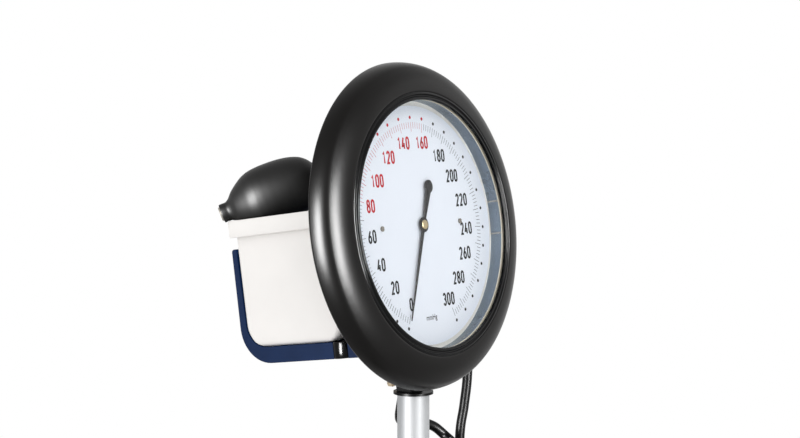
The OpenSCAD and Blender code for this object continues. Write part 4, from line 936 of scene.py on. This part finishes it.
# %% Map of the cloth
run = np.concatenate([[0], np.cumsum(np.hypot(*np.diff(roll_point(t, 0.0), axis=1)))])
corners = np.empty(len(cuff.data.loops), np.int32)
cuff.data.loops.foreach_get("vertex_index", corners)
row, column = np.divmod(corners, len(section_x))
cloth_uv = cuff.data.uv_layers.new(name="cloth")
cloth_uv.data.foreach_set("uv", np.stack([run[row] * MM, section_x[column] * MM], -1).ravel())
print("cuff strip", round(run[-1]), "mm long")

# %% [markdown]
# A short hose joins the bulb's valve to the bladder. It is stretched a little where it is pushed over the
# barb, so its radius swells near the top.

# %% Short hose
VALVE = BULB_NECK + 96.0 * BULB_AXIS
SHORT_TOP, SHORT_END, SHORT_R, SHORT_SIDES = VALVE[2] - 9.05, 8.8, 3.75, 24
SWELL, SWELL_AT, SWELL_WIDTH = 0.25, 0.12, 0.1
down = np.linspace(0, 1, 40)
drop = SHORT_TOP + down * (SHORT_END - SHORT_TOP)
path = head(np.stack([VALVE[0] + 0 * down, VALVE[1] + 0 * down, drop], -1))
swell = (SHORT_R + SWELL * np.exp(-((down - SWELL_AT) / SWELL_WIDTH) ** 2)) * MM
short_hose = put_mesh("short_hose", *tube_mesh(path, swell, SHORT_SIDES), hose_black)
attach(short_hose, "head")
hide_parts("bulb_hose")
print("short hose", round(length_of(path), 4), "m")

# %% [markdown]
# The pointer is stamped and painted, with rounded shoulders that catch the light. It is described by its half
# width along its length: a fine tip, a blade that widens towards the hub, and a tail that ends in a round
# counterweight.

# %% Outline of the pointer
HUB_R, WEIGHT_R, WEIGHT_AT, TIP = 5.8, 5.1, -31.4, 77.0
BLADE_AT, BLADE_HALF = [-32, -27, -4.5, 4.5, 55, 76.6, TIP], [3.3, 3.2, 1.5, 1.8, 0.95, 0.4, 0.1]
LEAST_HALF = 0.02


def pointer_half(s):
    """Half width at s mm from the hub's centre: the widest of the blade, the hub's circle and the weight's
    circle, where a circle is the root of its radius squared less the distance from its centre squared."""
    blade = np.interp(s, BLADE_AT, BLADE_HALF)
    hub = np.sqrt(np.clip(HUB_R ** 2 - s ** 2, 0, None))
    weight = np.sqrt(np.clip(WEIGHT_R ** 2 - (s - WEIGHT_AT) ** 2, 0, None))
    return np.where(s < WEIGHT_AT, weight, np.maximum(np.maximum(blade, hub), weight)) + LEAST_HALF


round_end = WEIGHT_AT - WEIGHT_R * np.cos(np.linspace(0, math.pi / 2, 12))
tail = np.linspace(WEIGHT_AT + 0.2, -HUB_R - 0.3, 28)
hub_part = np.linspace(0.01 - HUB_R, HUB_R - 0.01, 28)
stations = np.concatenate([round_end, tail, hub_part, np.linspace(HUB_R + 0.3, TIP, 40)])
print("pointer", len(stations), "stations")

# %% Pointer
POINTER_CREASE = 50.0
SECTION = np.array([[-1, -1.6], [-1, -2.0], [-0.86, -2.22], [-0.45, -2.38], [0, -2.42], [0.45, -2.38],
                    [0.86, -2.22], [1, -2.0], [1, -1.6]])
across = pointer_half(stations)[:, None] * SECTION[:, 0]
along = np.broadcast_to(stations[:, None], across.shape)
depth = np.broadcast_to(SECTION[:, 1], across.shape)
sin_zero, cos_zero = math.sin(dial_angle(0)), math.cos(dial_angle(0))
blade = [along * sin_zero + across * cos_zero, depth, along * cos_zero - across * sin_zero]
pointer = put_solid("pointer_blade", head(np.stack(blade, -1).reshape(-1, 3)), closed_faces(*across.shape),
                    pointer_black, POINTER_CREASE)
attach(pointer, "pointer_body")
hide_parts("pointer")
print("pointer", len(pointer.data.vertices), "points")

# %% [markdown]
# The unit stands in small letters at the foot of the dial. Letters come from Blender's own font: a text
# object is turned into a mesh, and its points are then put on the dial like any other ink.

# %% Unit
UNIT_AT, UNIT_BOX, LETTER_WEIGHT = (-0.8, -71.7), (14.0, 5.4), 0.012


def small_text(name, words, centre, box, material):
    """Letters as ink: the text's own x and y, less their middle, times the box over their size, centred."""
    curve = bpy.data.curves.new(name + "_curve", "FONT")
    curve.body = words
    curve.resolution_u = 3
    curve.offset = LETTER_WEIGHT
    letters = bpy.data.objects.new(name + "_letters", curve)
    scene.collection.objects.link(letters)
    mesh = bpy.data.meshes.new_from_object(letters.evaluated_get(bpy.context.evaluated_depsgraph_get()))
    bpy.data.objects.remove(letters)
    points = np.empty(3 * len(mesh.vertices), np.float32)
    mesh.vertices.foreach_get("co", points)
    points = points.reshape(-1, 3)[:, :2]
    low, high = points.min(0), points.max(0)
    flat = (points - (low + high) / 2) * box / (high - low) + centre
    return put_mesh(name, on_dial(flat), [list(f.vertices) for f in mesh.polygons], material, smooth=False)


unit = small_text("unit_mark", "mmHg", UNIT_AT, UNIT_BOX, ink_black)
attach(unit, "head")
print("unit", len(unit.data.polygons), "faces")
